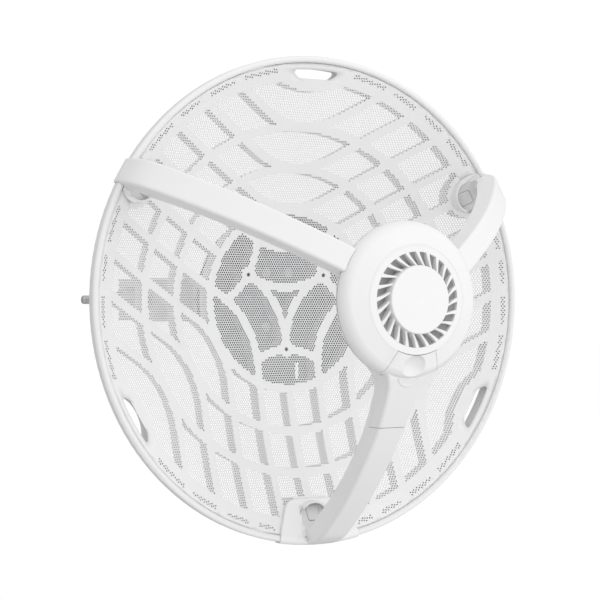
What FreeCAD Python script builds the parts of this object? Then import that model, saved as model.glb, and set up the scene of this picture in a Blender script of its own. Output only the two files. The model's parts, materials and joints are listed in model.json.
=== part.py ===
import FreeCAD, Part
import math
import os

from FreeCAD import Rotation, Vector

# Outdoor wireless bridge: a perforated dish whose radio head stands in front of it on three
# arms, held at the side of a pole by a two-jaw clamp with an azimuth and a tilt hinge.
# Millimetres.  Everything is drawn in the dish's own frame, x to the right, y up and z
# forward along the dish axis, and to_part_frame() turns it into the part's frame: +Z up, the dish
# looking along -Y, and the origin on the pole's axis, level with the middle of the jaws.

# ---------------------------------------------------------------- driving dimensions
# Dish
FOCAL = 172.0             # focal length of the paraboloid
LEVEL_R = 195.6           # radius at which the dish's surface crosses z = 0
RIM_R = 206.5             # outside radius of the rim
RIM_IN_R = 200.9          # inside radius of the rim ring
RIM_DEPTH = 7.5           # depth of the rim ring
SKIN_T = 1.0              # thickness of the perforated sheet
RIB_DEPTH = 14.0          # ribs behind the sheet
GLUE = 0.15               # glue line between sheet and ribs, and seam between seated pieces
BAND_W = 5.6              # width of a rib
RING_RADII = (78.0, 114.0, 149.0)
SMILE_STEP = 30.0         # spacing of the parallel ribs
SMILE_COUNT = 5
SMILE_BEND_R = 71.0       # radius of the bend between two straight ribs
EDGE_BAND = (187.5, 200.6)   # flat band just inside the rim
EDGE_GROOVE = (194.0, 198.0)  # dark groove under the ring of edge holes
HANDLE_ANGLES = (90.0, 210.0, 330.0)
HANDLE_OUT_R = 195.6      # finger slots in the edge band
HANDLE_IN_R = 184.4
HANDLE_HALF = 23.0
HANDLE_RELIEF = 2.0       # the frame stands this far back from a slot, below its lip
HANDLE_LIP = 3.6          # depth of the lip
# Arms
ARM_ANGLES = {"upper_right": 30.0, "upper_left": 150.0, "lower": 270.0}
ARM_HALF_FOOT = 12.0      # half width of an arm at the rim
ARM_HALF_HUB = 10.3       # and at the radio head
ARM_WALL = 2.5
ARM_EDGE_R = 2.4          # rounding of the long front edges
FOOT_OUT = 1.2            # how far a foot wraps past the rim
FOOT_T = 3.0              # thickness of the foot's flange
CUP_POS_R = 186.2         # the cup that plugs the foot into the dish
CUP_R = 13.0
CUP_WALL = 1.8
CUP_FLOOR_Z = -10.5
CUP_BOTTOM_Z = -13.0
BOWL_POS_R = 196.0        # shallow round recess in the foot's flange
BOWL_R = 15.7
SMALL_FOOT = (191.0, 17.6)    # the upper arms' feet are round: middle and radius
LATCH_POS_R = 182.0
LATCH_SIZE = 12.0
FOOT_SCREW_R = 196.0
FOOT_PAD_Z = -18.5        # underside of the pad a foot screw pulls against
# Radio head
HEAD_R = 61.5             # widest radius
DOME_START_R = 42.7       # flat front ring ends and the dome starts
DOME_KNEE = (53.8, 149.1)
DOME_EDGE_Z = 137.6
FACE_Z = 154.2            # front of the flat ring
HEAD_WALL = 2.2
SPLIT_Z = 136.0           # seam between front shell and rear housing
HEAD_BACK_Z = 113.0
VENT_R = (26.6, 37.0)
VENT_COUNT = 24
VENT_TWIST = -10.0        # degrees a blade turns from its outer to its inner end
DISC_R = 26.4
DISC_Z = 159.0
PORT_HALF_ANGLE = 24.0    # the port cover's side seams
PORT_END_R = 101.0        # and its seam across the arm
SEAM = 0.3                # gap around what comes off or moves
# Clamp, hinges
POLE_R = 21.2             # 42.4 mm pipe
POLE_X = -50.0            # pole axis in the dish frame
POLE_Z = -157.0
JAW_HALF_H = 19.0
JAW_HALF_D = 38.0
JAW_OUT = 50.0            # how far a jaw's back stands from the pole axis
JAW_GAP = 6.0             # half the gap between the jaws
JAW_OPEN = 18.0           # travel of the loose jaw
STUD_R = 4.0
STUD_OFFSET = 29.0        # studs pass the pole at this distance from its axis
STUD_TIP = JAW_OUT + JAW_OPEN + 20.0
PLATE_R = 77.0
PLATE_T = 3.0
PLATE_Z = -75.0           # rear face of the back plate
TILT_Z = -94.0            # tilt axis
AZ_X = 12.0               # azimuth axis
AZ_Z = -129.0
AZ_BOSS_R = 11.0
AZ_BOLT_R = 5.0
TILT_BOLT_R = 4.0
LUG_T = 6.0
EAR_T = 5.0
EAR_X = 27.0              # outside of the tilt bracket's ears; the yoke's stand inside them
LOCK_R = 20.0             # lock bolts stand this far from their hinge axis
LOCK_BOLT_R = 3.0
BRACKET_BOLTS = [(x, y) for x in (-11.0, 11.0) for y in (-24.0, 24.0)]
BRACKET_BOLT_R = 2.5
AZ_RANGE = 10.0           # degrees either way
TILT_RANGE = 16.0
RUN = 0.05                # radial clearance of a running fit
SIDE = 0.3                # gap between the flat sides of hinge parts


# ---------------------------------------------------------------- drawing helpers
def dish_z(r, lift=0.0):
    return (r * r - LEVEL_R * LEVEL_R) / (4 * FOCAL) + lift


def xz(p):
    return Vector(p[0], 0, p[1])


def xy(p):
    return Vector(p[0], p[1], 0)


def yz(p):
    return Vector(0, p[0], p[1])


def loop(start, *steps, to=xz):
    """A closed face: each step is a point, or (point on arc, end point)."""
    edges, here = [], start
    for step in steps + (start,):
        if isinstance(step[0], tuple):
            edges.append(Part.Arc(to(here), to(step[0]), to(step[1])).toShape())
            here = step[1]
        elif (to(step) - to(here)).Length > 1e-6:
            edges.append(Part.makeLine(to(here), to(step)))
            here = step
    return Part.Face(Part.Wire(edges))


def turned(face):
    return face.revolve(Vector(0, 0, 0), Vector(0, 0, 1), 360)


def ring(r_in, r_out, z_low, z_high):
    outer = Part.makeCylinder(r_out, z_high - z_low, Vector(0, 0, z_low))
    return outer.cut(Part.makeCylinder(r_in, z_high - z_low, Vector(0, 0, z_low))) if r_in else outer


def box(x, y, z):
    return Part.makeBox(x[1] - x[0], y[1] - y[0], z[1] - z[0], Vector(x[0], y[0], z[0]))


def rod(r, start, end):
    start, end = Vector(*start), Vector(*end)
    return Part.makeCylinder(r, (end - start).Length, start, end - start)


def hex_nut(across, bore, start, end):
    """A hexagonal prism from start to end, with a bore when bore is not zero."""
    start, end = Vector(*start), Vector(*end)
    turn = Rotation(Vector(0, 0, 1), end - start)
    corner = across / math.sqrt(3)
    points = [
        start + turn.multVec(Vector(corner * math.cos(a), corner * math.sin(a), 0))
        for a in (math.radians(60 * k) for k in range(7))
    ]
    nut = Part.Face(Part.makePolygon(points)).extrude(end - start)
    return nut.cut(Part.makeCylinder(bore, (end - start).Length, start, end - start)) if bore else nut


def socket_screw(x, y, shank_r, tip_z, head_r, seat_z, head_z):
    """A screw along z with a hexagon socket; its head lies between seat_z and head_z."""
    inward = math.copysign(1.2, seat_z - head_z)
    shank = rod(shank_r, (x, y, seat_z - inward), (x, y, tip_z))
    head = rod(head_r, (x, y, head_z), (x, y, seat_z))
    drive = hex_nut(0.8 * head_r, 0, (x, y, head_z - 0.1 * inward), (x, y, head_z + inward))
    return shank.fuse(head).cut(drive)


def spun(shape, angle):
    """A copy turned about the dish axis."""
    copy = shape.copy()
    copy.rotate(Vector(0, 0, 0), Vector(0, 0, 1), angle)
    return copy


def polar(r, angle, z=0.0):
    return Vector(r * math.cos(math.radians(angle)), r * math.sin(math.radians(angle)), z)


def parabola_edge(r_in, r_out, lift):
    """The dish's profile between two radii; a parabola is a Bezier curve of degree 2."""
    slope = r_in / (2 * FOCAL)
    middle = (0.5 * (r_in + r_out), dish_z(r_in, lift) + slope * 0.5 * (r_out - r_in))
    curve = Part.BezierCurve()
    curve.setPoles([xz((r_in, dish_z(r_in, lift))), xz(middle), xz((r_out, dish_z(r_out, lift)))])
    return curve.toShape()


def dish_layer(r_in, r_out, lift_top, lift_bottom):
    """What lies between two copies of the dish's surface."""
    edges = [
        parabola_edge(r_in, r_out, lift_top),
        Part.makeLine(xz((r_out, dish_z(r_out, lift_top))), xz((r_out, dish_z(r_out, lift_bottom)))),
        parabola_edge(r_in, r_out, lift_bottom),
        Part.makeLine(xz((r_in, dish_z(r_in, lift_bottom))), xz((r_in, dish_z(r_in, lift_top)))),
    ]
    return turned(Part.Face(Part.Wire(Part.__sortEdges__(edges))))


# ---------------------------------------------------------------- dish
DISH_LOW = dish_z(0) - 30.0
DISH_HIGH = dish_z(RIM_R) + 30.0


def tall(face):
    """A plan outline carried through the whole depth of the dish."""
    moved = face.copy()
    moved.translate(Vector(0, 0, DISH_LOW))
    return moved.extrude(Vector(0, 0, DISH_HIGH - DISH_LOW))


def handle_outline(grow):
    half, out_r = HANDLE_HALF + grow, HANDLE_OUT_R + grow
    corner_y = math.sqrt(out_r**2 - half**2)
    left, right = (-half, corner_y), (half, corner_y)
    return loop(left, ((0, out_r), right), ((0, HANDLE_IN_R - grow), left), to=xy)


def handle_slots(grow=0.0):
    slot = tall(handle_outline(grow))
    ends = [e for e in slot.Edges if abs(e.tangentAt(e.FirstParameter).z) > 0.9]
    slot = slot.makeFillet(1.8, ends)
    return [spun(slot, angle - 90) for angle in HANDLE_ANGLES]


def foot_outline(grow=0.0):
    """Bell-shaped plan of a foot, arm along +y, out to past the rim."""
    top_y, out_y = 170.0 - grow, RIM_R + 12.0
    half = [15.0, 28.0 + grow, 33.5 + grow, 38.5 + grow]
    left = [(-half[3], out_y), (-half[3], 199.0), (-half[2], 189.0), (-half[1], 179.0)]
    right = [(-x, y) for x, y in reversed(left)]
    return loop(
        left[0], left[1], left[2], left[3], ((-half[1] + 5.2, 172.2 - grow), (-half[0], top_y)),
        (half[0], top_y), ((half[1] - 5.2, 172.2 - grow), right[0]), right[1], right[2], right[3], to=xy,
    )


def disc_face(r):
    return Part.Face(Part.Wire(Part.makeCircle(r)))


def small_foot_outline(grow=0.0):
    """Plan of an upper arm's foot, arm along +y."""
    middle_r, radius = SMALL_FOOT
    face = disc_face(radius + grow)
    face.translate(Vector(0, middle_r, 0))
    return face


def annulus(r_in, r_out):
    return disc_face(r_out).cut(disc_face(r_in))


def smile(offset, reach):
    """Two straight ribs along neighbouring arms, joined by a bend; its hollow faces +y."""
    centre_y = (offset + SMILE_BEND_R) / math.cos(math.radians(30))
    along = Vector(math.cos(math.radians(30)), math.sin(math.radians(30)), 0)
    across = Vector(-along.y, along.x, 0)

    def side(radius):
        bend_end = Vector(0, centre_y, 0) - across * radius
        run = -bend_end.dot(along) + math.sqrt(max(reach**2 - bend_end.dot(across) ** 2, 0.0))
        return bend_end, bend_end + along * max(run, 1.0)

    near, near_end = side(SMILE_BEND_R - BAND_W / 2)
    far, far_end = side(SMILE_BEND_R + BAND_W / 2)
    points = [(p.x, p.y) for p in (near_end, near, far, far_end)]
    mirror = [(-x, y) for x, y in points]
    low_near, low_far = centre_y - SMILE_BEND_R + BAND_W / 2, centre_y - SMILE_BEND_R - BAND_W / 2
    return loop(
        mirror[0], mirror[1], ((0, low_near), points[1]), points[0],
        points[3], points[2], ((0, low_far), mirror[2]), mirror[3], to=xy,
    )


def middle_arc(offset_y, radius, half_x):
    """A short curved rib about a centre on the y axis, hollow side towards -y."""
    r_out, r_in = radius + BAND_W / 2, radius - BAND_W / 2
    rise_out = offset_y + math.sqrt(r_out**2 - half_x**2)
    rise_in = offset_y + math.sqrt(r_in**2 - half_x**2)
    return loop(
        (-half_x, rise_out), ((0, offset_y + r_out), (half_x, rise_out)),
        (half_x, rise_in), ((0, offset_y + r_in), (-half_x, rise_in)), to=xy,
    )


def rib_walls():
    """Every rib of the dish, as upright walls through its whole depth."""
    bands = [(r - BAND_W / 2, r + BAND_W / 2) for r in RING_RADII] + [EDGE_BAND]
    walls = [ring(r_in, r_out, DISH_LOW, DISH_HIGH) for r_in, r_out in bands]
    reach = 0.5 * (EDGE_BAND[0] + EDGE_GROOVE[0])
    one_third = [smile(SMILE_STEP * k, reach) for k in range(1, SMILE_COUNT)]
    one_third.append(smile(0.0, 46.0))
    one_third.append(loop((-45, 191), ((0, 179), (45, 191)), to=xy))
    one_third.append(middle_arc(-103.5, 59.5, 28.0))
    half = BAND_W / 2
    one_third.append(loop((-half, -RING_RADII[0]), (half, -RING_RADII[0]),
                          (half, -EDGE_BAND[0]), (-half, -EDGE_BAND[0]), to=xy))
    walls += [spun(tall(face), turn) for turn in (0, 120, 240) for face in one_third]
    inside = Part.makeCylinder(EDGE_BAND[1], DISH_HIGH - DISH_LOW, Vector(0, 0, DISH_LOW))
    for name, angle in ARM_ANGLES.items():
        outline = foot_outline() if name == "lower" else small_foot_outline(3.5)
        walls.append(spun(tall(outline), angle - 90).common(inside))
    return walls[0].multiFuse(walls[1:])


def socket(z_low, z_high, grow):
    """The round hole for a foot's cup, arm along +y."""
    return Part.makeCylinder(CUP_R + CUP_WALL + grow, z_high - z_low, Vector(0, CUP_POS_R, z_low))


SCREW_POS_R = 43.5
PLATE_SCREW_R = 2.1


def reflector_skin():
    """The dish's thin face, pierced all over between the ribs."""
    skin = dish_layer(0.0, EDGE_BAND[1], 0.0, -SKIN_T)
    cuts = handle_slots()
    for angle in ARM_ANGLES.values():
        cuts.append(spun(socket(DISH_LOW, DISH_HIGH, SEAM), angle - 90))
        cuts.append(rod(1.7, polar(SCREW_POS_R, angle, DISH_LOW), polar(SCREW_POS_R, angle, 0)))
    return skin.cut(cuts)


def reflector_frame():
    """The ribs behind the face, with bosses for the back plate and pads for the feet."""
    top = -SKIN_T - GLUE
    ribs = rib_walls().common(dish_layer(0.0, EDGE_BAND[1], top, top - RIB_DEPTH))
    above_face = dish_layer(0.0, 100.0, 100.0, top)
    latch = LATCH_SIZE / 2 + 2 * SEAM
    bosses = []
    lip = dish_layer(150.0, EDGE_BAND[1], 5.0, -HANDLE_LIP)
    cuts = handle_slots() + [slot.cut(lip) for slot in handle_slots(HANDLE_RELIEF)]
    cuts.append(dish_layer(*EDGE_GROOVE, 1.0, top - 3.0))
    for angle in ARM_ANGLES.values():
        boss = rod(6.5, polar(SCREW_POS_R, angle, PLATE_Z + PLATE_T), polar(SCREW_POS_R, angle, 0))
        pad = rod(4.4, polar(FOOT_SCREW_R, angle, FOOT_PAD_Z), polar(FOOT_SCREW_R, angle, CUP_BOTTOM_Z - 0.5))
        bosses += [boss.cut(above_face), pad]
        well = box((LATCH_POS_R - latch, LATCH_POS_R + latch), (-latch, latch), (DISH_LOW, CUP_BOTTOM_Z))
        cuts += [
            spun(socket(CUP_BOTTOM_Z - GLUE, DISH_HIGH, SEAM), angle - 90),
            spun(well, angle),
            rod(2.1, polar(FOOT_SCREW_R, angle, DISH_LOW), polar(FOOT_SCREW_R, angle, 0)),
            rod(PLATE_SCREW_R + RUN, polar(SCREW_POS_R, angle, DISH_LOW - 20), polar(SCREW_POS_R, angle, 0)),
        ]
    return ribs.multiFuse(bosses).cut(cuts)


def rim_profile(grow=0.0):
    """Half section of the rim ring, its front bead a little proud of the dish."""
    front = dish_z(RIM_IN_R) + 0.6
    low = front - RIM_DEPTH
    r_in, r_out = RIM_IN_R - grow, RIM_R + grow
    return loop(
        (r_in, low - grow), (r_in, front + grow),
        ((r_in + 0.6 * (r_out - r_in), front + 2.1 + grow), (r_out, front - 1.0)),
        (r_out, low + 1.6), ((r_out - 0.5, low + 0.5), (r_out - 1.6, low - grow)),
    )


def rim_ring():
    return turned(rim_profile())


# ---------------------------------------------------------------- arms (drawn along +x)
ARM_TOP_START = (50.0, 147.2)
ARM_TOP = ((124.0, 103.0), (194.5, 34.5))
ARM_TOE_BOTTOM = -3.6
ARM_HEEL = (194.0, 2.0)
ARM_BACK = ((120.0, 84.0), (62.0, 120.0))
ARM_BACK_START = (183.0, 19.0)
HUB_END_R = 48.0


def arc_circle(start, through):
    """The circle of an arc given as (start, (point on arc, end point))."""
    curve = Part.Arc(xz(start), xz(through[0]), xz(through[1])).toShape().Curve
    return curve.Center, curve.Radius


def toe_arc():
    """The bend at the end of an arm, tangent to its long arc and upright where it ends."""
    centre, _ = arc_circle(ARM_TOP_START, ARM_TOP)
    start = xz(ARM_TOP[1])
    outward = (start - centre).normalize()
    toe_r = RIM_R + FOOT_OUT
    radius = (toe_r - start.x) / (1 - outward.x)
    middle = start - outward * radius
    half_turn = 0.5 * math.atan2(outward.z, outward.x)
    on_arc = (middle.x + radius * math.cos(half_turn), middle.z + radius * math.sin(half_turn))
    return (on_arc, (toe_r, middle.z))


def arm_side():
    """An arm from the side: radius along the dish against height."""
    toe_r = RIM_R + FOOT_OUT
    return loop(
        ARM_TOP_START, ARM_TOP, toe_arc(), (toe_r, ARM_TOE_BOTTOM),
        (CUP_POS_R + CUP_R, ARM_TOE_BOTTOM), (CUP_POS_R + CUP_R, CUP_FLOOR_Z - 0.5),
        (ARM_HEEL[0], CUP_FLOOR_Z - 0.5), ARM_HEEL, ((190.3, 11.8), ARM_BACK_START), ARM_BACK,
        (HUB_END_R, 122.0), (HUB_END_R, ARM_TOP_START[1]),
    )


def arm_hollow_side():
    """The hollow inside an arm, open at the back."""
    return loop(
        (HUB_END_R, 144.6), ((122.2, 100.8), (187.0, 39.0)), (180.0, 14.0), ((116.0, 80.0), (60.0, 114.0)),
        (HUB_END_R, 116.0),
    )


def back_strip_side():
    """A strip that closes the arm's hollow, flush with its back."""
    rise = 2.0
    return loop(
        (66.0, 117.9), ((120.0, 84.0), (178.0, 24.6)), (178.0 + rise * 0.7, 24.6 + rise * 0.7),
        ((120.0 + rise * 0.7, 84.0 + rise * 0.7), (66.0 + rise * 0.7, 117.9 + rise * 0.7)),
    )


def arm_plan(inset, flared):
    """Half outline of an arm from the front; the lower arm widens into the radio head."""
    foot, hub = ARM_HALF_FOOT - inset, ARM_HALF_HUB - inset
    out_r = RIM_R + 20.0
    if not flared:
        return loop((40.0, -hub), (out_r, -foot), (out_r, foot), (40.0, hub), to=xy)
    waist = foot + 0.4
    return loop(
        (40.0, inset - 26.0), (52.0, inset - 26.0), ((61.0, inset - 18.6), (76.0, -waist - 2.0)),
        (104.0, -waist), (180.0, -foot), (out_r, -foot), (out_r, foot), (180.0, foot), (104.0, waist),
        (76.0, waist + 2.0), ((61.0, 18.6 - inset), (52.0, 26.0 - inset)), (40.0, 26.0 - inset), to=xy,
    )


def carried(side_face, plan_face, half=40.0):
    """A side outline and a plan outline carried through each other."""
    side = side_face.copy()
    side.translate(Vector(0, -half, 0))
    plan = plan_face.copy()
    plan.translate(Vector(0, 0, -60))
    return side.extrude(Vector(0, 2 * half, 0)).common(plan.extrude(Vector(0, 0, 300)))


def head_outline(grow):
    """Half section of the closed radio head."""
    knee_r, knee_z = DOME_KNEE
    return loop(
        (0, HEAD_BACK_Z - grow), (40.0, HEAD_BACK_Z - grow), (44.0 + grow, 116.0 - grow),
        (HEAD_R - 0.2 + grow, 134.3 - grow), (HEAD_R + grow, DOME_EDGE_Z),
        ((59.9 + grow, 144.2 + grow), (knee_r + 0.4 * grow, knee_z + grow)), (DOME_START_R, FACE_Z + grow),
        (0, FACE_Z + grow),
    )


def foot_flange(outline):
    """Flange and cup of a foot, arm along +x, still without the arm."""
    lift = SEAM
    top = lift + FOOT_T
    toe_r = RIM_R + FOOT_OUT
    turn_r = EDGE_BAND[1] - 0.6
    front = dish_z(turn_r, top)
    edges = [
        parabola_edge(150.0, turn_r, top),
        Part.Arc(xz((turn_r, front)), xz((toe_r - 2.6, front + 0.6)), xz((toe_r, front - 4.5))).toShape(),
        Part.makeLine(xz((toe_r, front - 4.5)), xz((toe_r, ARM_TOE_BOTTOM))),
        Part.makeLine(xz((toe_r, ARM_TOE_BOTTOM)), xz((turn_r, ARM_TOE_BOTTOM))),
        Part.makeLine(xz((turn_r, ARM_TOE_BOTTOM)), xz((turn_r, dish_z(turn_r, lift)))),
        parabola_edge(150.0, turn_r, lift),
        Part.makeLine(xz((150.0, dish_z(150.0, lift))), xz((150.0, dish_z(150.0, top)))),
    ]
    layer = turned(Part.Face(Part.Wire(Part.__sortEdges__(edges))))
    flange = layer.common(spun(tall(outline), -90))
    cup = spun(socket(CUP_BOTTOM_Z, dish_z(CUP_POS_R) + 2.0, 0.0), -90)
    return flange.fuse(cup)


def bowl():
    """The shallow recess around the cup, just inside the rim."""
    above = dish_layer(150.0, RIM_R - 1.5, 40.0, SEAM + 1.0)
    return Part.makeCylinder(BOWL_R, 80, Vector(BOWL_POS_R, 0, -20)).common(above)


def arm_beam(flared):
    """A solid arm with its long front edges rounded."""
    beam = carried(arm_side(), arm_plan(0.0, flared))
    circles = [arc_circle(ARM_TOP_START, ARM_TOP), arc_circle(ARM_TOP[1], toe_arc())]
    rounded_from = 78.0 if flared else 0.0

    def on_front(edge):
        middle = edge.valueAt(0.5 * (edge.FirstParameter + edge.LastParameter))
        side_view = Vector(middle.x, 0, middle.z)
        near = min(abs((side_view - centre).Length - radius) for centre, radius in circles)
        return near < 0.05 and abs(middle.y) > 5 and middle.x > rounded_from

    return beam.makeFillet(ARM_EDGE_R, [edge for edge in beam.Edges if on_front(edge)])


def arm(name):
    flared = name == "lower"
    beam = arm_beam(flared)
    beam = beam.cut(carried(arm_hollow_side(), arm_plan(ARM_WALL, flared)))
    well = Part.makeCylinder(CUP_R, 60, Vector(CUP_POS_R, 0, CUP_FLOOR_Z))
    outline = foot_outline() if flared else small_foot_outline()
    foot = foot_flange(outline).cut([well, bowl()])
    solid = beam.fuse(foot)
    half = LATCH_SIZE / 2 + SEAM
    slot_from, slot_to = CUP_POS_R - 12.5, CUP_POS_R - 4.0
    pocket = box((ARM_HEEL[0] - 8, ARM_HEEL[0] + 3.0), (1.0, 6.0), (3.5, 13.5))
    cuts = [
        turned(rim_profile(SEAM)),
        dish_layer(150.0, EDGE_BAND[1], SEAM, -40.0).cut(spun(socket(-60, 60, 0.0), -90)),
        turned(head_outline(GLUE)),
        box((LATCH_POS_R - half, LATCH_POS_R + half), (-half, half), (-20, CUP_FLOOR_Z + 6)),
        box((slot_from, slot_to), (-13.6, -10.4), (-8.0, 10.0)),
        pocket,
        rod(1.6, (FOOT_SCREW_R, 0, -20), (FOOT_SCREW_R, 0, 2)),
    ]
    if flared:
        cuts.append(port_zone())
    solid = solid.cut(cuts)
    solid = max(solid.Solids, key=lambda s: s.Volume)
    return spun(solid, ARM_ANGLES[name])


def back_strip(name):
    strip = carried(back_strip_side(), arm_plan(ARM_WALL + GLUE, name == "lower"))
    return spun(strip, ARM_ANGLES[name])


def foot_latch(name):
    """Square push button that unlocks a foot; a shoulder under the cup holds it in."""
    half = LATCH_SIZE / 2
    top = CUP_FLOOR_Z + 1.8
    button = box((LATCH_POS_R - half, LATCH_POS_R + half), (-half, half), (CUP_BOTTOM_Z - 1.0, top))
    button = button.makeFillet(1.5, [e for e in button.Edges if abs(e.tangentAt(0).z) > 0.9])
    rib = box((LATCH_POS_R - 3.5, LATCH_POS_R - 2.3), (-3.2, 3.2), (top - 0.1, top + 0.7))
    return spun(button.fuse(rib), ARM_ANGLES[name])


def foot_screws():
    """One screw through the frame's pad into the foot of each arm."""
    screws = []
    for angle in ARM_ANGLES.values():
        at = polar(FOOT_SCREW_R, angle)
        screws.append(socket_screw(at.x, at.y, 1.55, 1.0, 3.4, FOOT_PAD_Z - 0.1, FOOT_PAD_Z - 2.3))
    return Part.makeCompound(screws)


# ---------------------------------------------------------------- radio head
HEAD_SCREW_ANGLES = (0.0, 60.0, 120.0, 180.0, 225.0, 315.0)
HEAD_SCREW_POS_R = 50.0
BOARD_Z = 128.0
BOARD_T = 1.6
BOARD_R = 43.0
STANDOFF_POS_R = 37.0
FEED_HOLE_R = 13.0


def port_plan(inset):
    """The port cover from the front, arm along +x."""
    angle = math.radians(PORT_HALF_ANGLE)
    r_in, r_out = DOME_START_R + inset, 64.0
    cos_a, sin_a = math.cos(angle), math.sin(angle)
    shift = inset / cos_a

    def seam(r, side):
        return (r * cos_a, side * (r * sin_a - shift))

    return loop(
        seam(r_in, -1), seam(r_out, -1), (PORT_END_R - 22.0, -30.0), (PORT_END_R - inset, -30.0),
        (PORT_END_R - inset, 30.0), (PORT_END_R - 22.0, 30.0), seam(r_out, 1), seam(r_in, 1),
        ((r_in, 0), seam(r_in, -1)), to=xy,
    )


def below_parting(lift):
    """What lies behind the port cover: its edge steps down from the head to the arm's sides."""
    step_r = HEAD_R + GLUE
    return turned(loop(
        (0, 0), (200.0, 0), (200.0, 36.0 + lift), (PORT_END_R, 104.5 + lift), (70.0, 121.5 + lift),
        (step_r, 126.5 + lift), (step_r, SPLIT_Z + lift), (0, SPLIT_Z + lift),
    ))


def port_zone():
    """The room for the port cover, arm along +x."""
    zone = port_plan(0.0).extrude(Vector(0, 0, 110))
    zone.translate(Vector(0, 0, 90))
    return zone.cut(below_parting(0.0))


def smooth_head_front(offset):
    """The closed front of the radio head, offset inwards."""
    knee_r, knee_z = DOME_KNEE
    r_out = HEAD_R - offset
    return turned(loop(
        (0, SPLIT_Z - 24.0), (r_out, SPLIT_Z - 24.0), (r_out, DOME_EDGE_Z),
        ((59.9 - 0.86 * offset, 144.2 - 0.6 * offset), (knee_r - 0.5 * offset, knee_z - 0.95 * offset)),
        (DOME_START_R - offset, FACE_Z - offset), (0, FACE_Z - offset),
    ))


def port_cover():
    """Front of the head and of the lower arm between the seams, as one loose shell."""
    arm_solid = arm_beam(True)
    inner_r = HUB_END_R - 4
    hollow_side = loop((inner_r, 146.0), ((122.2, 100.8), (187.0, 39.0)), (186, 10), (inner_r, 50.0))
    arm_inner = carried(hollow_side, arm_plan(ARM_WALL, True))
    plan = port_plan(SEAM).extrude(Vector(0, 0, 80))
    plan.translate(Vector(0, 0, 90))
    outer = smooth_head_front(0.0).fuse(arm_solid).common(plan)
    inner = smooth_head_front(HEAD_WALL).fuse(arm_inner)
    shell = outer.cut(inner).cut(below_parting(SEAM))
    dimple_x, dimple_z = 58.5, 147.0
    pad = rod(12.5, (dimple_x - 1.5, 0, dimple_z - 7.5), (dimple_x - 1.5, 0, dimple_z + 6)).common(outer)
    thumb = Part.makeSphere(14.0, Vector(dimple_x - 2.5, 0, dimple_z + 11.4), Vector(0, 1, 0))
    lip = Part.makeTorus(9.3, 0.9, Vector(dimple_x, 0, dimple_z - 4.0), Vector(0.505, 0, 1), 0, 360, 360)
    lip = lip.common(box((dimple_x + 3.0, dimple_x + 12), (-10, 10), (120, 170)))
    jack_half, jack_top = JACK_HALF + 2 * SEAM, JACK_Z + JACK_H + SEAM
    jack_room = box((0, 2 * SEAM - JACK_FRONT_Y), (-jack_half, jack_half), (100, jack_top))
    shell = shell.fuse(pad).cut(thumb).fuse(lip).cut(jack_room)
    shell = max(shell.Solids, key=lambda s: s.Volume)
    return spun(shell, ARM_ANGLES["lower"])


def hub_cover():
    """Front shell of the radio head, with a ledge for the vent ring and screw posts."""
    knee_r, knee_z = DOME_KNEE
    shell = turned(loop(
        (HEAD_R, SPLIT_Z + 0.6), (HEAD_R, DOME_EDGE_Z), ((59.9, 144.2), (knee_r, knee_z)),
        (DOME_START_R, FACE_Z), (DOME_START_R, FACE_Z - 2.7), (40.4, FACE_Z - 2.7), (40.4, FACE_Z - 4.6),
        (DOME_START_R + 0.5, FACE_Z - 4.6), (knee_r - 1.0, knee_z - 2.4),
        ((57.9, 143.2), (HEAD_R - HEAD_WALL, DOME_EDGE_Z)), (HEAD_R - HEAD_WALL, SPLIT_Z + 0.6),
    ))
    posts = [
        rod(3.6, polar(HEAD_SCREW_POS_R, a, SPLIT_Z - 1.4), polar(HEAD_SCREW_POS_R, a, 148.6))
        for a in HEAD_SCREW_ANGLES
    ]
    pilots = [
        rod(1.3, polar(HEAD_SCREW_POS_R, a, SPLIT_Z - 2.0), polar(HEAD_SCREW_POS_R, a, SPLIT_Z + 8.0))
        for a in HEAD_SCREW_ANGLES
    ]
    shell = shell.multiFuse(posts).cut(pilots)
    return shell.cut(spun(port_zone(), ARM_ANGLES["lower"]))


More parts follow.
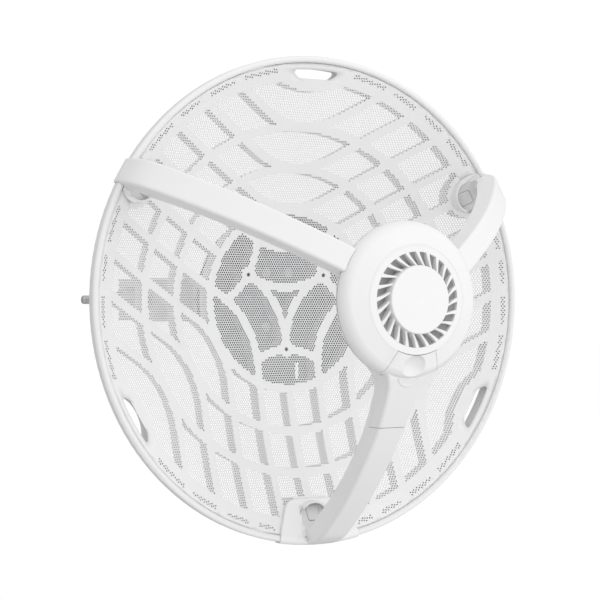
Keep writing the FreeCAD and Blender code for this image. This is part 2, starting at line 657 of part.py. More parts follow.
def hub_housing():
    """Rear housing: a shallow bowl with standoffs, screw bosses and a window for the plug."""
    wall = HEAD_WALL
    top = SPLIT_Z - 0.4
    bowl = turned(loop(
        (FEED_HOLE_R, HEAD_BACK_Z), (40.0, HEAD_BACK_Z), (44.0, 116.0), (HEAD_R - 0.2, 134.3), (HEAD_R, top),
        (HEAD_R - wall, top), (HEAD_R - wall - 1.2, 134.9), (43.0, 117.8), (39.4, HEAD_BACK_Z + wall),
        (FEED_HOLE_R, HEAD_BACK_Z + wall),
    ))
    inside = turned(loop((0, HEAD_BACK_Z + 0.2), (40.0, HEAD_BACK_Z + 0.2), (43.4, 116.2),
                         (HEAD_R - 1.2, 134.6), (HEAD_R - 1.2, 180), (0, 180)))
    top_z = SPLIT_Z - 1.6
    bosses = [
        rod(3.6, polar(HEAD_SCREW_POS_R, a, HEAD_BACK_Z), polar(HEAD_SCREW_POS_R, a, top_z)).common(inside)
        for a in HEAD_SCREW_ANGLES
    ]
    bosses += [
        rod(3.2, polar(STANDOFF_POS_R, a, HEAD_BACK_Z + 1), polar(STANDOFF_POS_R, a, BOARD_Z - GLUE))
        for a in HANDLE_ANGLES
    ]
    holes = [
        rod(1.7, polar(HEAD_SCREW_POS_R, a, 100), polar(HEAD_SCREW_POS_R, a, 150)) for a in HEAD_SCREW_ANGLES
    ]
    counterbores = [
        rod(3.1, polar(HEAD_SCREW_POS_R, a, 100), polar(HEAD_SCREW_POS_R, a, SPLIT_Z - 8.0))
        for a in HEAD_SCREW_ANGLES
    ]
    pilots = [
        rod(1.1, polar(STANDOFF_POS_R, a, BOARD_Z - 8), polar(STANDOFF_POS_R, a, BOARD_Z + 1))
        for a in HANDLE_ANGLES
    ]
    plug_window = box((-10.0, 10.0), (-72.0, -50.0), (120.0, 150.0))
    cuts = holes + counterbores + pilots + [plug_window]
    housing = bowl.multiFuse(bosses).cut(cuts)
    return max(housing.Solids, key=lambda s: s.Volume)


def hub_gasket():
    gasket = ring(HEAD_R - 1.9, HEAD_R - 0.4, SPLIT_Z - 0.35, SPLIT_Z + 0.5)
    zone = box((40, 90), (-28, 28), (120, 160))
    return gasket.cut(spun(zone, ARM_ANGLES["lower"]))


def hub_screws():
    seat = SPLIT_Z - 8.0
    screws = []
    for angle in HEAD_SCREW_ANGLES:
        at = polar(HEAD_SCREW_POS_R, angle)
        screws.append(socket_screw(at.x, at.y, 1.25, SPLIT_Z + 6.0, 2.7, seat - 0.05, seat - 2.6))
    return Part.makeCompound(screws)


def blade_plan(angle):
    """One vent blade from the front, narrow at its inner end and swept back."""
    r_in, r_out = VENT_R[0] - 0.4, VENT_R[1] + 0.6
    r_mid = 0.5 * (r_in + r_out)
    half = {r_in: 0.5, r_mid: 0.75, r_out: 1.45}
    turn = {r_in: VENT_TWIST, r_mid: 0.36 * VENT_TWIST, r_out: 0.0}

    def corner(r, side):
        across = math.degrees(side * half[r] / r)
        point = polar(r, angle + turn[r] + across)
        return (point.x, point.y)

    return loop(
        corner(r_in, -1), (corner(r_mid, -1), corner(r_out, -1)), corner(r_out, 1),
        (corner(r_mid, 1), corner(r_in, 1)), to=xy,
    )


def vent_ring():
    """Flat ring, swept blades and the collar that carries the centre disc."""
    flange = turned(loop(
        (VENT_R[1], FACE_Z - 2.5), (DOME_START_R - GLUE, FACE_Z - 2.5), (DOME_START_R - GLUE, FACE_Z - 0.1),
        (VENT_R[1], FACE_Z + 0.4),
    ))
    skirt = ring(VENT_R[1], VENT_R[1] + 1.4, FACE_Z - 5.5, FACE_Z)
    collar = ring(VENT_R[0] - 2.6, VENT_R[0], FACE_Z - 5.5, DISC_Z - 2.4)
    slope = turned(loop(
        (VENT_R[0] - 0.6, FACE_Z - 5.0), (VENT_R[1] + 0.7, FACE_Z - 5.0), (VENT_R[1] + 0.7, FACE_Z + 0.3),
        (VENT_R[0] - 0.6, DISC_Z - 2.9),
    ))
    blades = []
    for k in range(VENT_COUNT):
        plan = blade_plan(360.0 * k / VENT_COUNT)
        plan.translate(Vector(0, 0, FACE_Z - 8))
        blades.append(plan.extrude(Vector(0, 0, 16)).common(slope))
    return flange.multiFuse([skirt, collar] + blades)


def centre_disc():
    low = DISC_Z - 2.3
    cap = turned(loop((0, low), (DISC_R, low), (DISC_R, DISC_Z - 0.9),
                      ((DISC_R - 0.3, DISC_Z - 0.3), (DISC_R - 1.0, DISC_Z)), (0, DISC_Z + 0.2)))
    snap = ring(DISC_R - 4.0, DISC_R - 2.6, low - 3.0, low + 0.5)
    return cap.fuse(snap)


def shield_top():
    return BOARD_Z + BOARD_T + 10.0


def heat_sink():
    base_z = shield_top() + GLUE
    top = FACE_Z - 5.9
    base = Part.makeCylinder(37.5, 2.4, Vector(0, 0, base_z))
    post = Part.makeCylinder(9.0, top - base_z, Vector(0, 0, base_z))
    fin = box((8.0, 37.0), (-0.7, 0.7), (base_z + 1, top))
    return base.multiFuse([post] + [spun(fin, 15.0 * k) for k in range(24)])


def radio_board():
    board = Part.makeCylinder(BOARD_R, BOARD_T, Vector(0, 0, BOARD_Z))
    tongue = box((-17.5, 17.5), (-50, -30), (BOARD_Z, BOARD_Z + BOARD_T))
    tongue = tongue.common(Part.makeCylinder(51.3, BOARD_T, Vector(0, 0, BOARD_Z)))
    holes = [rod(1.5, polar(STANDOFF_POS_R, a, 120), polar(STANDOFF_POS_R, a, 140)) for a in HANDLE_ANGLES]
    return board.fuse(tongue).cut(holes)


def board_screws():
    screws = []
    for angle in HANDLE_ANGLES:
        top = BOARD_Z + BOARD_T
        shank = rod(1.05, polar(STANDOFF_POS_R, angle, BOARD_Z - 6), polar(STANDOFF_POS_R, angle, top + 1))
        head = rod(2.4, polar(STANDOFF_POS_R, angle, top + 0.05), polar(STANDOFF_POS_R, angle, top + 1.8))
        screws.append(shank.fuse(head))
    return Part.makeCompound(screws)


def shield_can():
    low, high, half = BOARD_Z + BOARD_T + 0.05, shield_top(), 22.0
    can = box((-half, half), (-half, half), (low, high))
    return can.cut(box((-half + 0.8, half - 0.8), (-half + 0.8, half - 0.8), (low - 1, high - 0.8)))


def feed_horn():
    """Aluminium waveguide that ends in a small horn facing the dish."""
    tube = turned(loop(
        (3.0, BOARD_Z - 0.1), (11.0, BOARD_Z - 0.1), (11.0, BOARD_Z - 2.5), (8.0, BOARD_Z - 3.5),
        (8.0, 112.0), (11.5, 106.5), (10.3, 106.0), (3.0, 115.0),
    ))
    return tube.fuse(ring(7.0, FEED_HOLE_R - 0.15, HEAD_BACK_Z + 0.2, HEAD_BACK_Z + 2.4))


def feed_lens():
    """Domed weather cap over the horn."""
    back = HEAD_BACK_Z - GLUE
    return turned(loop(
        (13.6, back), (18.0, back), (18.0, back - 1.6), (15.4, back - 2.2), (15.2, 106.0),
        ((13.0, 103.2), (8.5, 101.2)), (0, 100.4), (0, 102.0), (8.0, 102.8), ((11.6, 104.4), (13.6, 106.6)),
    ))


JACK_HALF = 8.0
JACK_FRONT_Y = -56.0
JACK_BACK_Y = -38.0
JACK_Z = BOARD_Z + BOARD_T + 0.05
JACK_H = 12.4


def ethernet_jack():
    body = box((-JACK_HALF, JACK_HALF), (JACK_FRONT_Y, JACK_BACK_Y), (JACK_Z, JACK_Z + JACK_H))
    mouth = box((-5.95, 5.95), (JACK_FRONT_Y - 1, JACK_FRONT_Y + 14.0), (JACK_Z + 2.4, JACK_Z + 9.4))
    key = box((-3.1, 3.1), (JACK_FRONT_Y - 1, JACK_FRONT_Y + 9.0), (JACK_Z + 9.0, JACK_Z + 11.0))
    return body.cut([mouth, key])


BUTTON_X = 13.6
BUTTON_Y = -45.0


def reset_button():
    low = JACK_Z + 2.35
    stem = rod(1.6, (BUTTON_X, BUTTON_Y, low), (BUTTON_X, BUTTON_Y, low + 5.5))
    skirt = rod(2.3, (BUTTON_X, BUTTON_Y, low), (BUTTON_X, BUTTON_Y, low + 1.0))
    return stem.fuse(skirt)


def reset_switch():
    """The small switch body that guides the reset button, on the board beside the jack."""
    body = box((BUTTON_X - 3, BUTTON_X + 3), (BUTTON_Y - 3, BUTTON_Y + 3), (JACK_Z, JACK_Z + 4.2))
    return body.cut(rod(2.4, (BUTTON_X, BUTTON_Y, JACK_Z + 1.3), (BUTTON_X, BUTTON_Y, JACK_Z + 6.0)))


def port_seal():
    """Soft grommet across the arm's hollow below the plug, slit for the lead."""
    side = loop((93.5, 96.0), (93.5, 120.3), (98.5, 117.2), (98.5, 92.0))
    block = carried(side, arm_plan(ARM_WALL + GLUE, True))
    below = loop((60, 60), (60, 124.6), (80, 114.4), ((100, 101.0), (120, 87.7)), (120, 60))
    floor = carried(below, arm_plan(0, True))
    seal = block.cut([floor, rod(3.2, (85, 0, 112.6), (105, 0, 105.6))])
    return spun(max(seal.Solids, key=lambda s: s.Volume), ARM_ANGLES["lower"])


# ---------------------------------------------------------------- mount
def back_plate():
    """Round pan against the ribs, with a drain slot."""
    lift = -SKIN_T - 2 * GLUE - RIB_DEPTH
    pan = turned(loop((0, PLATE_Z), (PLATE_R, PLATE_Z), (PLATE_R, dish_z(PLATE_R, lift)),
                      (PLATE_R - 3.5, dish_z(PLATE_R - 3.5, lift)), (PLATE_R - 3.5, PLATE_Z + PLATE_T),
                      (0, PLATE_Z + PLATE_T)))
    low, high = PLATE_Z - 1, PLATE_Z + 5
    hole = BRACKET_BOLT_R + 0.1
    cuts = [box((19.5, 24.5), (-72.5, -56.5), (PLATE_Z - 5, PLATE_Z + 20))]
    cuts += [rod(2.2, polar(SCREW_POS_R, a, low), polar(SCREW_POS_R, a, high)) for a in ARM_ANGLES.values()]
    cuts += [rod(hole, (x, y, low), (x, y, high)) for x, y in BRACKET_BOLTS]
    return pan.cut(cuts)


def back_plate_screws():
    """Three screws from behind the back plate into the frame's bosses."""
    tip_z = dish_z(SCREW_POS_R) - 4.0
    pieces = []
    for angle in ARM_ANGLES.values():
        at = polar(SCREW_POS_R, angle)
        pieces.append(socket_screw(at.x, at.y, PLATE_SCREW_R, tip_z, 3.6, PLATE_Z - 0.1, PLATE_Z - 3.3))
    return Part.makeCompound(pieces)


EAR_TOP = 31.0


def arc_slot(axis_length, radius, half_width, half_angle):
    """A curved slot about the origin, centred on +x, cut along +z."""
    def point(r, angle):
        return (r * math.cos(math.radians(angle)), r * math.sin(math.radians(angle)))

    r_in, r_out = radius - half_width, radius + half_width
    face = loop(
        point(r_in, -half_angle), (point(r_in, 0), point(r_in, half_angle)),
        (point(radius, half_angle + math.degrees(half_width / radius)), point(r_out, half_angle)),
        (point(r_out, 0), point(r_out, -half_angle)),
        (point(radius, -half_angle - math.degrees(half_width / radius)), point(r_in, -half_angle)), to=xy,
    )
    return face.extrude(Vector(0, 0, axis_length))


def tilt_bracket():
    """U bracket on the back plate: base and two ears with a pivot hole and a curved slot."""
    rear = PLATE_Z - GLUE
    base = box((-EAR_X, EAR_X), (-31.0, EAR_TOP), (rear - 4.0, rear))
    ears = []
    for side in (-1, 1):
        x = (-EAR_X, -EAR_X + EAR_T) if side < 0 else (EAR_X - EAR_T, EAR_X)
        outline = loop(
            (-31.0, rear), (EAR_TOP, rear), (EAR_TOP, TILT_Z - 6.0),
            ((24.0, TILT_Z - 11.5), (14.0, TILT_Z - 12.0)), (0.0, TILT_Z - 11.0),
            ((-9.0, TILT_Z - 7.0), (-11.0, TILT_Z)), (-31.0, rear - 4.0), to=yz,
        )
        outline.translate(Vector(x[0], 0, 0))
        ears.append(outline.extrude(Vector(EAR_T, 0, 0)))
    slot = arc_slot(100.0, LOCK_R, LOCK_BOLT_R + 0.3, TILT_RANGE)
    slot.rotate(Vector(0, 0, 0), Vector(0, 1, 0), 90)      # +z to +x, +x to -z
    slot.rotate(Vector(0, 0, 0), Vector(1, 0, 0), 90)
    slot.translate(Vector(-50, 0, TILT_Z))
    cuts = [rod(TILT_BOLT_R + RUN, (-50, 0, TILT_Z), (50, 0, TILT_Z)), slot]
    hole = BRACKET_BOLT_R + 0.1
    cuts += [rod(hole, (x, y, PLATE_Z - 10), (x, y, PLATE_Z + 5)) for x, y in BRACKET_BOLTS]
    return base.multiFuse(ears).cut(cuts)


def bracket_bolts():
    """Four short bolts between the tilt bracket and the back plate, nuts inside the pan."""
    seat, floor = PLATE_Z - GLUE - 4.0, PLATE_Z + PLATE_T
    bolts = []
    for x, y in BRACKET_BOLTS:
        shank = rod(BRACKET_BOLT_R, (x, y, seat - 1), (x, y, floor + 3.0))
        head = hex_nut(8.0, 0, (x, y, seat - 3.6), (x, y, seat - 0.1))
        nut = hex_nut(8.0, 0, (x, y, floor + 0.1), (x, y, floor + 2.6))
        bolts.append(shank.multiFuse([head, nut]))
    return Part.makeCompound(bolts)


YOKE_WEB = (-108.0, -103.0)
YOKE_EAR_X = EAR_X - EAR_T - SIDE


def azimuth_yoke():
    """Turns about the vertical pin behind it and carries the tilt axis in front."""
    top, low = JAW_HALF_H + SIDE, -JAW_HALF_H - SIDE
    high = 30.0
    web = box((-YOKE_EAR_X, YOKE_EAR_X), (low - LUG_T, high), YOKE_WEB)
    ears = []
    for side in (-1, 1):
        x = -YOKE_EAR_X if side < 0 else YOKE_EAR_X - EAR_T
        outline = loop(
            (low - LUG_T, YOKE_WEB[0]), (high, YOKE_WEB[0]), (high, TILT_Z + 1.0),
            ((25.5, TILT_Z + 4.4), (19.0, TILT_Z + 6.0)), (5.0, TILT_Z + 8.0),
            ((-5.5, TILT_Z + 6.0), (-9.0, TILT_Z)), (low - LUG_T, YOKE_WEB[1]), to=yz,
        )
        outline.translate(Vector(x, 0, 0))
        ears.append(outline.extrude(Vector(EAR_T, 0, 0)))
    lugs = []
    for y0 in (top, low - LUG_T):
        round_end = Part.makeCylinder(AZ_BOSS_R + 1.0, LUG_T, Vector(AZ_X, y0, AZ_Z), Vector(0, 1, 0))
        arm_box = box((AZ_X - 12.0, YOKE_EAR_X), (y0, y0 + LUG_T), (AZ_Z, YOKE_WEB[0] + 1))
        lugs += [round_end, arm_box]
    wing = Part.makeCylinder(LOCK_R + 7.0, LUG_T, Vector(AZ_X, top, AZ_Z), Vector(0, 1, 0))
    wing = wing.common(box((AZ_X - 40, AZ_X), (0, 60), (AZ_Z - 13.0, AZ_Z + 22.0)))
    slot = arc_slot(40.0, LOCK_R, LOCK_BOLT_R + 0.3, AZ_RANGE)
    slot.rotate(Vector(0, 0, 0), Vector(1, 0, 0), -90)     # cut along +y
    slot.rotate(Vector(0, 0, 0), Vector(0, 1, 0), 180)     # centred on -x
    slot.translate(Vector(AZ_X, 10, AZ_Z))
    cuts = [
        rod(AZ_BOLT_R + RUN, (AZ_X, -60, AZ_Z), (AZ_X, 60, AZ_Z)), slot,
        rod(TILT_BOLT_R + GLUE, (-50, 0, TILT_Z), (50, 0, TILT_Z)),
        rod(LOCK_BOLT_R + GLUE, (-50, LOCK_R, TILT_Z), (50, LOCK_R, TILT_Z)),
    ]
    return web.multiFuse(ears + lugs + [wing]).cut(cuts)


def side_bolts(r, across, head_t, y):
    """A pair of bolts along x through the ears, heads outside, threaded into the yoke."""
    bolts = []
    for side in (-1, 1):
        outside = side * (EAR_X + 0.1)
        inside = side * (YOKE_EAR_X - EAR_T - 2.0)
        shank = rod(r, (inside, y, TILT_Z), (outside + side, y, TILT_Z))
        head = hex_nut(across, 0, (outside, y, TILT_Z), (outside + side * head_t, y, TILT_Z))
        bolts.append(shank.fuse(head))
    return Part.makeCompound(bolts)


def tilt_pivot_bolts():
    return side_bolts(TILT_BOLT_R, 13.0, 5.0, 0.0)


def tilt_lock_bolts():
    return side_bolts(LOCK_BOLT_R, 10.0, 4.0, LOCK_R)


def azimuth_pivot_bolt():
    top = JAW_HALF_H + SIDE + LUG_T + 0.1
    shank = rod(AZ_BOLT_R, (AZ_X, -top - 9.0, AZ_Z), (AZ_X, top + 1, AZ_Z))
    head = hex_nut(17.0, 0, (AZ_X, top, AZ_Z), (AZ_X, top + 6.0, AZ_Z))
    nut = hex_nut(17.0, 0, (AZ_X, -top, AZ_Z), (AZ_X, -top - 7.0, AZ_Z))
    return shank.multiFuse([head, nut])


def azimuth_lock_bolt():
    x = AZ_X - LOCK_R
    lug_top = JAW_HALF_H + SIDE + LUG_T
    shank = rod(LOCK_BOLT_R, (x, 7.0, AZ_Z), (x, lug_top + 1, AZ_Z))
    return shank.fuse(hex_nut(10.0, 0, (x, lug_top + 0.3, AZ_Z), (x, lug_top + 4.5, AZ_Z)))


def jaw_blank(low_x, high_x):
    """A jaw around the pole: a ribbed block with a saddle."""
    block = box((low_x, high_x), (-JAW_HALF_H, JAW_HALF_H), (POLE_Z - JAW_HALF_D, POLE_Z + JAW_HALF_D))
    upright = [e for e in block.Edges if abs(e.tangentAt(0).y) > 0.9]
    block = block.makeFillet(5.0, upright)
    pole = Part.makeCylinder(POLE_R, 100, Vector(POLE_X, -50, POLE_Z), Vector(0, 1, 0))
    return block.cut(pole)


def stud_lines():
    return [POLE_Z - STUD_OFFSET, POLE_Z + STUD_OFFSET]


STUD_END_X = POLE_X + JAW_OUT - 12.0


def pole_jaw_fixed():
    """Jaw on the dish side; its boss holds the azimuth pin, and two studs are screwed into it."""
    face = POLE_X + JAW_OUT
    block = jaw_blank(POLE_X + JAW_GAP, face)
    boss = Part.makeCylinder(AZ_BOSS_R, 2 * JAW_HALF_H, Vector(AZ_X, -JAW_HALF_H, AZ_Z), Vector(0, 1, 0))
    neck = box((face - 8, AZ_X), (-JAW_HALF_H, JAW_HALF_H), (AZ_Z - AZ_BOSS_R, AZ_Z + 8.0))
    recess = box((face - 9.0, face + 1), (-12, 12), (POLE_Z - 30.0, AZ_Z - AZ_BOSS_R - 4.0))
    cuts = [recess, rod(AZ_BOLT_R + RUN, (AZ_X, -60, AZ_Z), (AZ_X, 60, AZ_Z)),
            rod(LOCK_BOLT_R, (AZ_X - LOCK_R, 6.5, AZ_Z), (AZ_X - LOCK_R, 60, AZ_Z))]
    cuts += [rod(STUD_R, (POLE_X, 0, z), (STUD_END_X + 2.0, 0, z)) for z in stud_lines()]
    return block.multiFuse([boss, neck]).cut(cuts)


def pole_jaw_loose():
    """Jaw on the far side of the pole; the nuts pull it in."""
    outer = POLE_X - JAW_OUT
    block = jaw_blank(outer, POLE_X - JAW_GAP)
    recess = box((outer - 1, outer + 9.0), (-12, 12), (POLE_Z - 18.0, POLE_Z + 18.0))
    cuts = [rod(STUD_R + SIDE, (outer - 5, 0, z), (POLE_X, 0, z)) for z in stud_lines()]
    return block.cut(cuts + [recess])


def clamp_studs():
    tip = POLE_X - STUD_TIP
    return Part.makeCompound([rod(STUD_R, (tip, 0, z), (STUD_END_X, 0, z)) for z in stud_lines()])


def clamp_washers():
    near, far = POLE_X - JAW_OUT - 0.1, POLE_X - JAW_OUT - 1.7
    washers = []
    for z in stud_lines():
        hole = rod(STUD_R + 0.25, (near + 1, 0, z), (far - 1, 0, z))
        washers.append(rod(9.0, (near, 0, z), (far, 0, z)).cut(hole))
    return Part.makeCompound(washers)


def clamp_nuts():
    near = POLE_X - JAW_OUT - 1.8
    return Part.makeCompound([
        hex_nut(13.0, STUD_R + 0.1, (near, 0, z), (near - 6.5, 0, z)) for z in stud_lines()
    ])


# ---------------------------------------------------------------- export
def to_part_frame(shape):
    """Dish frame to part frame: z forward becomes -Y, y up becomes Z, the pole's axis the origin."""
    shape = shape.copy()
    shape.rotate(Vector(0, 0, 0), Vector(1, 0, 0), 90)
    shape.translate(Vector(-POLE_X, POLE_Z, 0))
    return shape


def nodes():
    yield "reflector_skin", reflector_skin()
    yield "reflector_frame", reflector_frame()
    yield "rim_ring", rim_ring()
    for name in ARM_ANGLES:
        yield "arm_" + name, arm(name)
        yield "arm_back_strip_" + name, back_strip(name)
        yield "foot_latch_" + name, foot_latch(name)
    yield "foot_screws", foot_screws()
    yield "hub_housing", hub_housing()
    yield "hub_cover", hub_cover()
    yield "hub_gasket", hub_gasket()
    yield "hub_screws", hub_screws()
    yield "vent_ring", vent_ring()
    yield "centre_disc", centre_disc()
    yield "heat_sink", heat_sink()
    yield "radio_board", radio_board()
    yield "board_screws", board_screws()
    yield "shield_can", shield_can()
    yield "feed_horn", feed_horn()
    yield "feed_lens", feed_lens()
    yield "ethernet_jack", ethernet_jack()
    yield "reset_button", reset_button()
    yield "reset_switch", reset_switch()
    yield "port_cover", port_cover()
    yield "port_seal", port_seal()
    yield "back_plate", back_plate()
    yield "back_plate_screws", back_plate_screws()
    yield "tilt_bracket", tilt_bracket()
    yield "bracket_bolts", bracket_bolts()
    yield "azimuth_yoke", azimuth_yoke()
    yield "tilt_pivot_bolts", tilt_pivot_bolts()
    yield "tilt_lock_bolts", tilt_lock_bolts()
    yield "azimuth_pivot_bolt", azimuth_pivot_bolt()
    yield "azimuth_lock_bolt", azimuth_lock_bolt()
    yield "pole_jaw_fixed", pole_jaw_fixed()
    yield "pole_jaw_loose", pole_jaw_loose()
    yield "clamp_studs", clamp_studs()
    yield "clamp_washers", clamp_washers()
    yield "clamp_nuts", clamp_nuts()


def main():
    os.makedirs("parts", exist_ok=True)
    for name, shape in nodes():
        shape = to_part_frame(shape)
        shape.exportStep("parts/" + name + ".step")
        size = shape.BoundBox
        print(f"{name:24s} solids {len(shape.Solids)} valid {shape.isValid()} volume {shape.Volume:10.1f} "
              f"box {size.XLength:.1f} x {size.YLength:.1f} x {size.ZLength:.1f}", flush=True)


main()
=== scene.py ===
# %% [markdown]
# # An outdoor wireless bridge
# A pierced dish throws a radio beam forward to a small head that three arms hold in front of it.
# A clamp with two hinges holds the dish beside a mast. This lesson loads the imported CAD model, which
# already has every moving and fastened part at its real size, and then builds what CAD left plain:
# the pierced face of the dish, the row of small holes round its edge, the threads of the clamp's
# studs, and the finish of every surface.

# %% Load the CAD model
import json
import math

import bmesh
import bpy
import numpy as np
from mathutils import Matrix, Vector


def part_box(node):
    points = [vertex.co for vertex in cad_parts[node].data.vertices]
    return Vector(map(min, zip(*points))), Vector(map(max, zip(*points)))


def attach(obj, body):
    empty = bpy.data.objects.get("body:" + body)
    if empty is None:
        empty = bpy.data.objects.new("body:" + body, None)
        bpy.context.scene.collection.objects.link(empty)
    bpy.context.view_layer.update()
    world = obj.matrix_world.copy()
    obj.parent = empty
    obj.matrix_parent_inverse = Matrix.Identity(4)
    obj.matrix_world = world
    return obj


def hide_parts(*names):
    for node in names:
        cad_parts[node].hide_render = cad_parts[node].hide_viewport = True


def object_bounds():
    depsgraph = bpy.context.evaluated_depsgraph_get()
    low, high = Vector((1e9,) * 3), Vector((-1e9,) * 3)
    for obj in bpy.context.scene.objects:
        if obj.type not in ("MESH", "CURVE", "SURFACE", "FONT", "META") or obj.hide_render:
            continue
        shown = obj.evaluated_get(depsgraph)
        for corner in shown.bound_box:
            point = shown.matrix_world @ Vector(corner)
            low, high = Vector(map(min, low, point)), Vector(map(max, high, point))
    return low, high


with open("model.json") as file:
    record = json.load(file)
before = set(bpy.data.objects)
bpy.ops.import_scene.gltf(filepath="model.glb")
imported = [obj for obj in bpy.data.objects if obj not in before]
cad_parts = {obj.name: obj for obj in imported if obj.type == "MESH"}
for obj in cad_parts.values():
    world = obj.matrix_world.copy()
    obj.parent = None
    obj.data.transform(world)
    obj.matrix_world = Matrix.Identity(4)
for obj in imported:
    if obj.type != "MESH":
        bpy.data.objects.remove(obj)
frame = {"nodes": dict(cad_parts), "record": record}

CAD_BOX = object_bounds()

# %% [markdown]
# ## Where the dish stands
# The row frame has +Z up and the dish looks along -Y. The dish itself is easier to draw facing up,
# with x to the right, y up and z along its axis, in millimetres. One small function turns such
# points into the row frame, so each later cell can think in the dish's own terms. The place of
# the dish is read from the box of its CAD face, not typed in again.

# %% The dish's own frame
MM = 0.001
FACE_LOW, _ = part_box("reflector_skin")
RIM_LOW, RIM_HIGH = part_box("rim_ring")
DISH_X = 0.5 * (RIM_LOW.x + RIM_HIGH.x) / MM
FOCAL = 172.0             # the dish is a paraboloid with this focal length
LEVEL_R = 195.6           # its surface crosses the level z = 0 at this radius
SHEET = 1.0               # thickness of the face where it is closed
PIERCED_T = 0.45          # and where it is pierced
FACE_OUT_R = 200.6        # the face reaches out to here, which is its front-most edge
DISH_Y = FACE_LOW.y / MM + (FACE_OUT_R**2 - LEVEL_R**2) / (4 * FOCAL)


def dish_z(r):
    """Height of the dish's surface at a radius, both in millimetres."""
    return (r * r - LEVEL_R * LEVEL_R) / (4 * FOCAL)


def to_row(points):
    """Points of the dish frame in millimetres, as row frame points in metres."""
    x, y, z = np.asarray(points, float).T
    return np.column_stack((x + DISH_X, DISH_Y - z, y)) * MM


print(f"dish axis at x = {DISH_X:.2f} mm, level plane at y = {DISH_Y:.2f} mm")

# %% [markdown]
# ## Camera, floor and light
# The object is seen from the left of its axis, level with the head. A long lens keeps the dish
# from bulging. The light is a bright sky from all around, as in a white tent, a little brighter in
# front, above and to the right, so that the round head and the arms still show their form, with
# one large soft panel for the faint shadows. The floor is a wide pale disc well below the dish,
# so that its edge never shows, and it throws no light back up.

# %% Camera
EYE = (-0.6535, -1.3684, -0.00024)
SIGHT = Vector((0.4934, 0.8698, 0.0)).normalized()
LENS = 98.8
camera = bpy.data.objects.new("camera", bpy.data.cameras.new("camera"))
bpy.context.scene.collection.objects.link(camera)
camera.location = EYE
camera.rotation_euler = SIGHT.to_track_quat("-Z", "Y").to_euler()
camera.data.lens = LENS
camera.data.sensor_width = 36.0
camera.data.clip_end = 60.0
bpy.context.scene.camera = camera
bpy.context.scene.view_settings.view_transform = "Standard"
print("camera at", tuple(round(c, 3) for c in camera.location))

# %% Floor
FLOOR_DROP = 0.16         # how far it lies below the object
FLOOR_Z = CAD_BOX[0].z - FLOOR_DROP
FLOOR_R = 14.0
floor_mesh = bpy.data.meshes.new("floor")
shape = bmesh.new()
bmesh.ops.create_circle(shape, cap_ends=True, radius=FLOOR_R, segments=96)
shape.to_mesh(floor_mesh)
shape.free()
floor = bpy.data.objects.new("floor", floor_mesh)
floor.location = (0, 0, FLOOR_Z)
bpy.context.scene.collection.objects.link(floor)
floor.visible_diffuse = False
floor.visible_glossy = False

floor_finish = bpy.data.materials.new("pale_floor")
floor_finish.use_nodes = True
floor_shader = floor_finish.node_tree.nodes["Principled BSDF"]
floor_shader.inputs["Base Color"].default_value = (0.93, 0.93, 0.93, 1)
floor_shader.inputs["Roughness"].default_value = 0.9
floor_shader.inputs["Specular IOR Level"].default_value = 0.1
floor_shader.inputs["Emission Color"].default_value = (1, 1, 1, 1)
floor_shader.inputs["Emission Strength"].default_value = 0.12
floor_mesh.materials.append(floor_finish)
print(f"floor {abs(FLOOR_Z):.2f} m below the origin")

# %% Light
SKY = 0.86                # even part of the sky
SKY_LEAN = (0.12, -0.40, 0.16)   # how much brighter towards the right, the front and above
BACKDROP = 1.02           # what the camera itself sees of the sky
world = bpy.data.worlds.new("white_tent")
world.use_nodes = True
sky = world.node_tree
heading = sky.nodes.new("ShaderNodeTexCoord")
lean = sky.nodes.new("ShaderNodeVectorMath")
lean.operation = "DOT_PRODUCT"
lean.inputs[1].default_value = SKY_LEAN
sky.links.new(heading.outputs["Generated"], lean.inputs[0])
level = sky.nodes.new("ShaderNodeMath")
level.operation = "ADD"
level.inputs[1].default_value = SKY
sky.links.new(lean.outputs["Value"], level.inputs[0])
seen = sky.nodes.new("ShaderNodeLightPath")
wall = sky.nodes.new("ShaderNodeMix")
wall.data_type = "FLOAT"
wall.inputs["B"].default_value = BACKDROP
sky.links.new(seen.outputs["Is Camera Ray"], wall.inputs["Factor"])
sky.links.new(level.outputs["Value"], wall.inputs["A"])
sky.links.new(wall.outputs["Result"], sky.nodes["Background"].inputs["Strength"])
sky.nodes["Background"].inputs["Color"].default_value = (1, 1, 1, 1)
bpy.context.scene.world = world


def light_panel(name, place, aim, size, watts):
    """A large square panel of soft light."""
    lamp = bpy.data.lights.new(name, "AREA")
    lamp.shape = "SQUARE"
    lamp.size = size
    lamp.energy = watts
    panel = bpy.data.objects.new(name, lamp)
    panel.location = place
    panel.rotation_euler = (Vector(aim) - Vector(place)).to_track_quat("-Z", "Y").to_euler()
    bpy.context.scene.collection.objects.link(panel)


light_panel("key_panel", place=(0.9, -2.0, 1.8), aim=(0.05, -0.2, 0.0), size=1.0, watts=4.0)
print("sky", SKY, "lean", SKY_LEAN)

# %% [markdown]
# ## Finishes
# Nothing on this object is truly one colour. Moulded plastic has a fine spark-eroded grain, a faint
# cloudiness, and edges that catch light because no tool leaves them sharp. Painted steel has
# orange peel, and zinc has crystals. All of this is made with nodes, so it needs no unwrapping
# and stays sharp at any distance. One function lays down what the finishes share: clouds in the
# colour, clouds in the roughness, a fine grain as bump, rounded edges from the Bevel node, and
# wear where that rounding bends the surface most.

# %% The shared recipe
def node(tree, kind, **settings):
    """A new node with its inputs or properties set by name."""
    made = tree.nodes.new(kind)
    for key, value in settings.items():
        if key in made.inputs:
            made.inputs[key].default_value = value
        else:
            setattr(made, key, value)
    return made


def noise(tree, where, scale, detail=4.0):
    """The value of a noise texture at the given places."""
    made = node(tree, "ShaderNodeTexNoise", Scale=scale, Detail=detail)
    tree.links.new(where, made.inputs["Vector"])
    return made.outputs["Fac"]


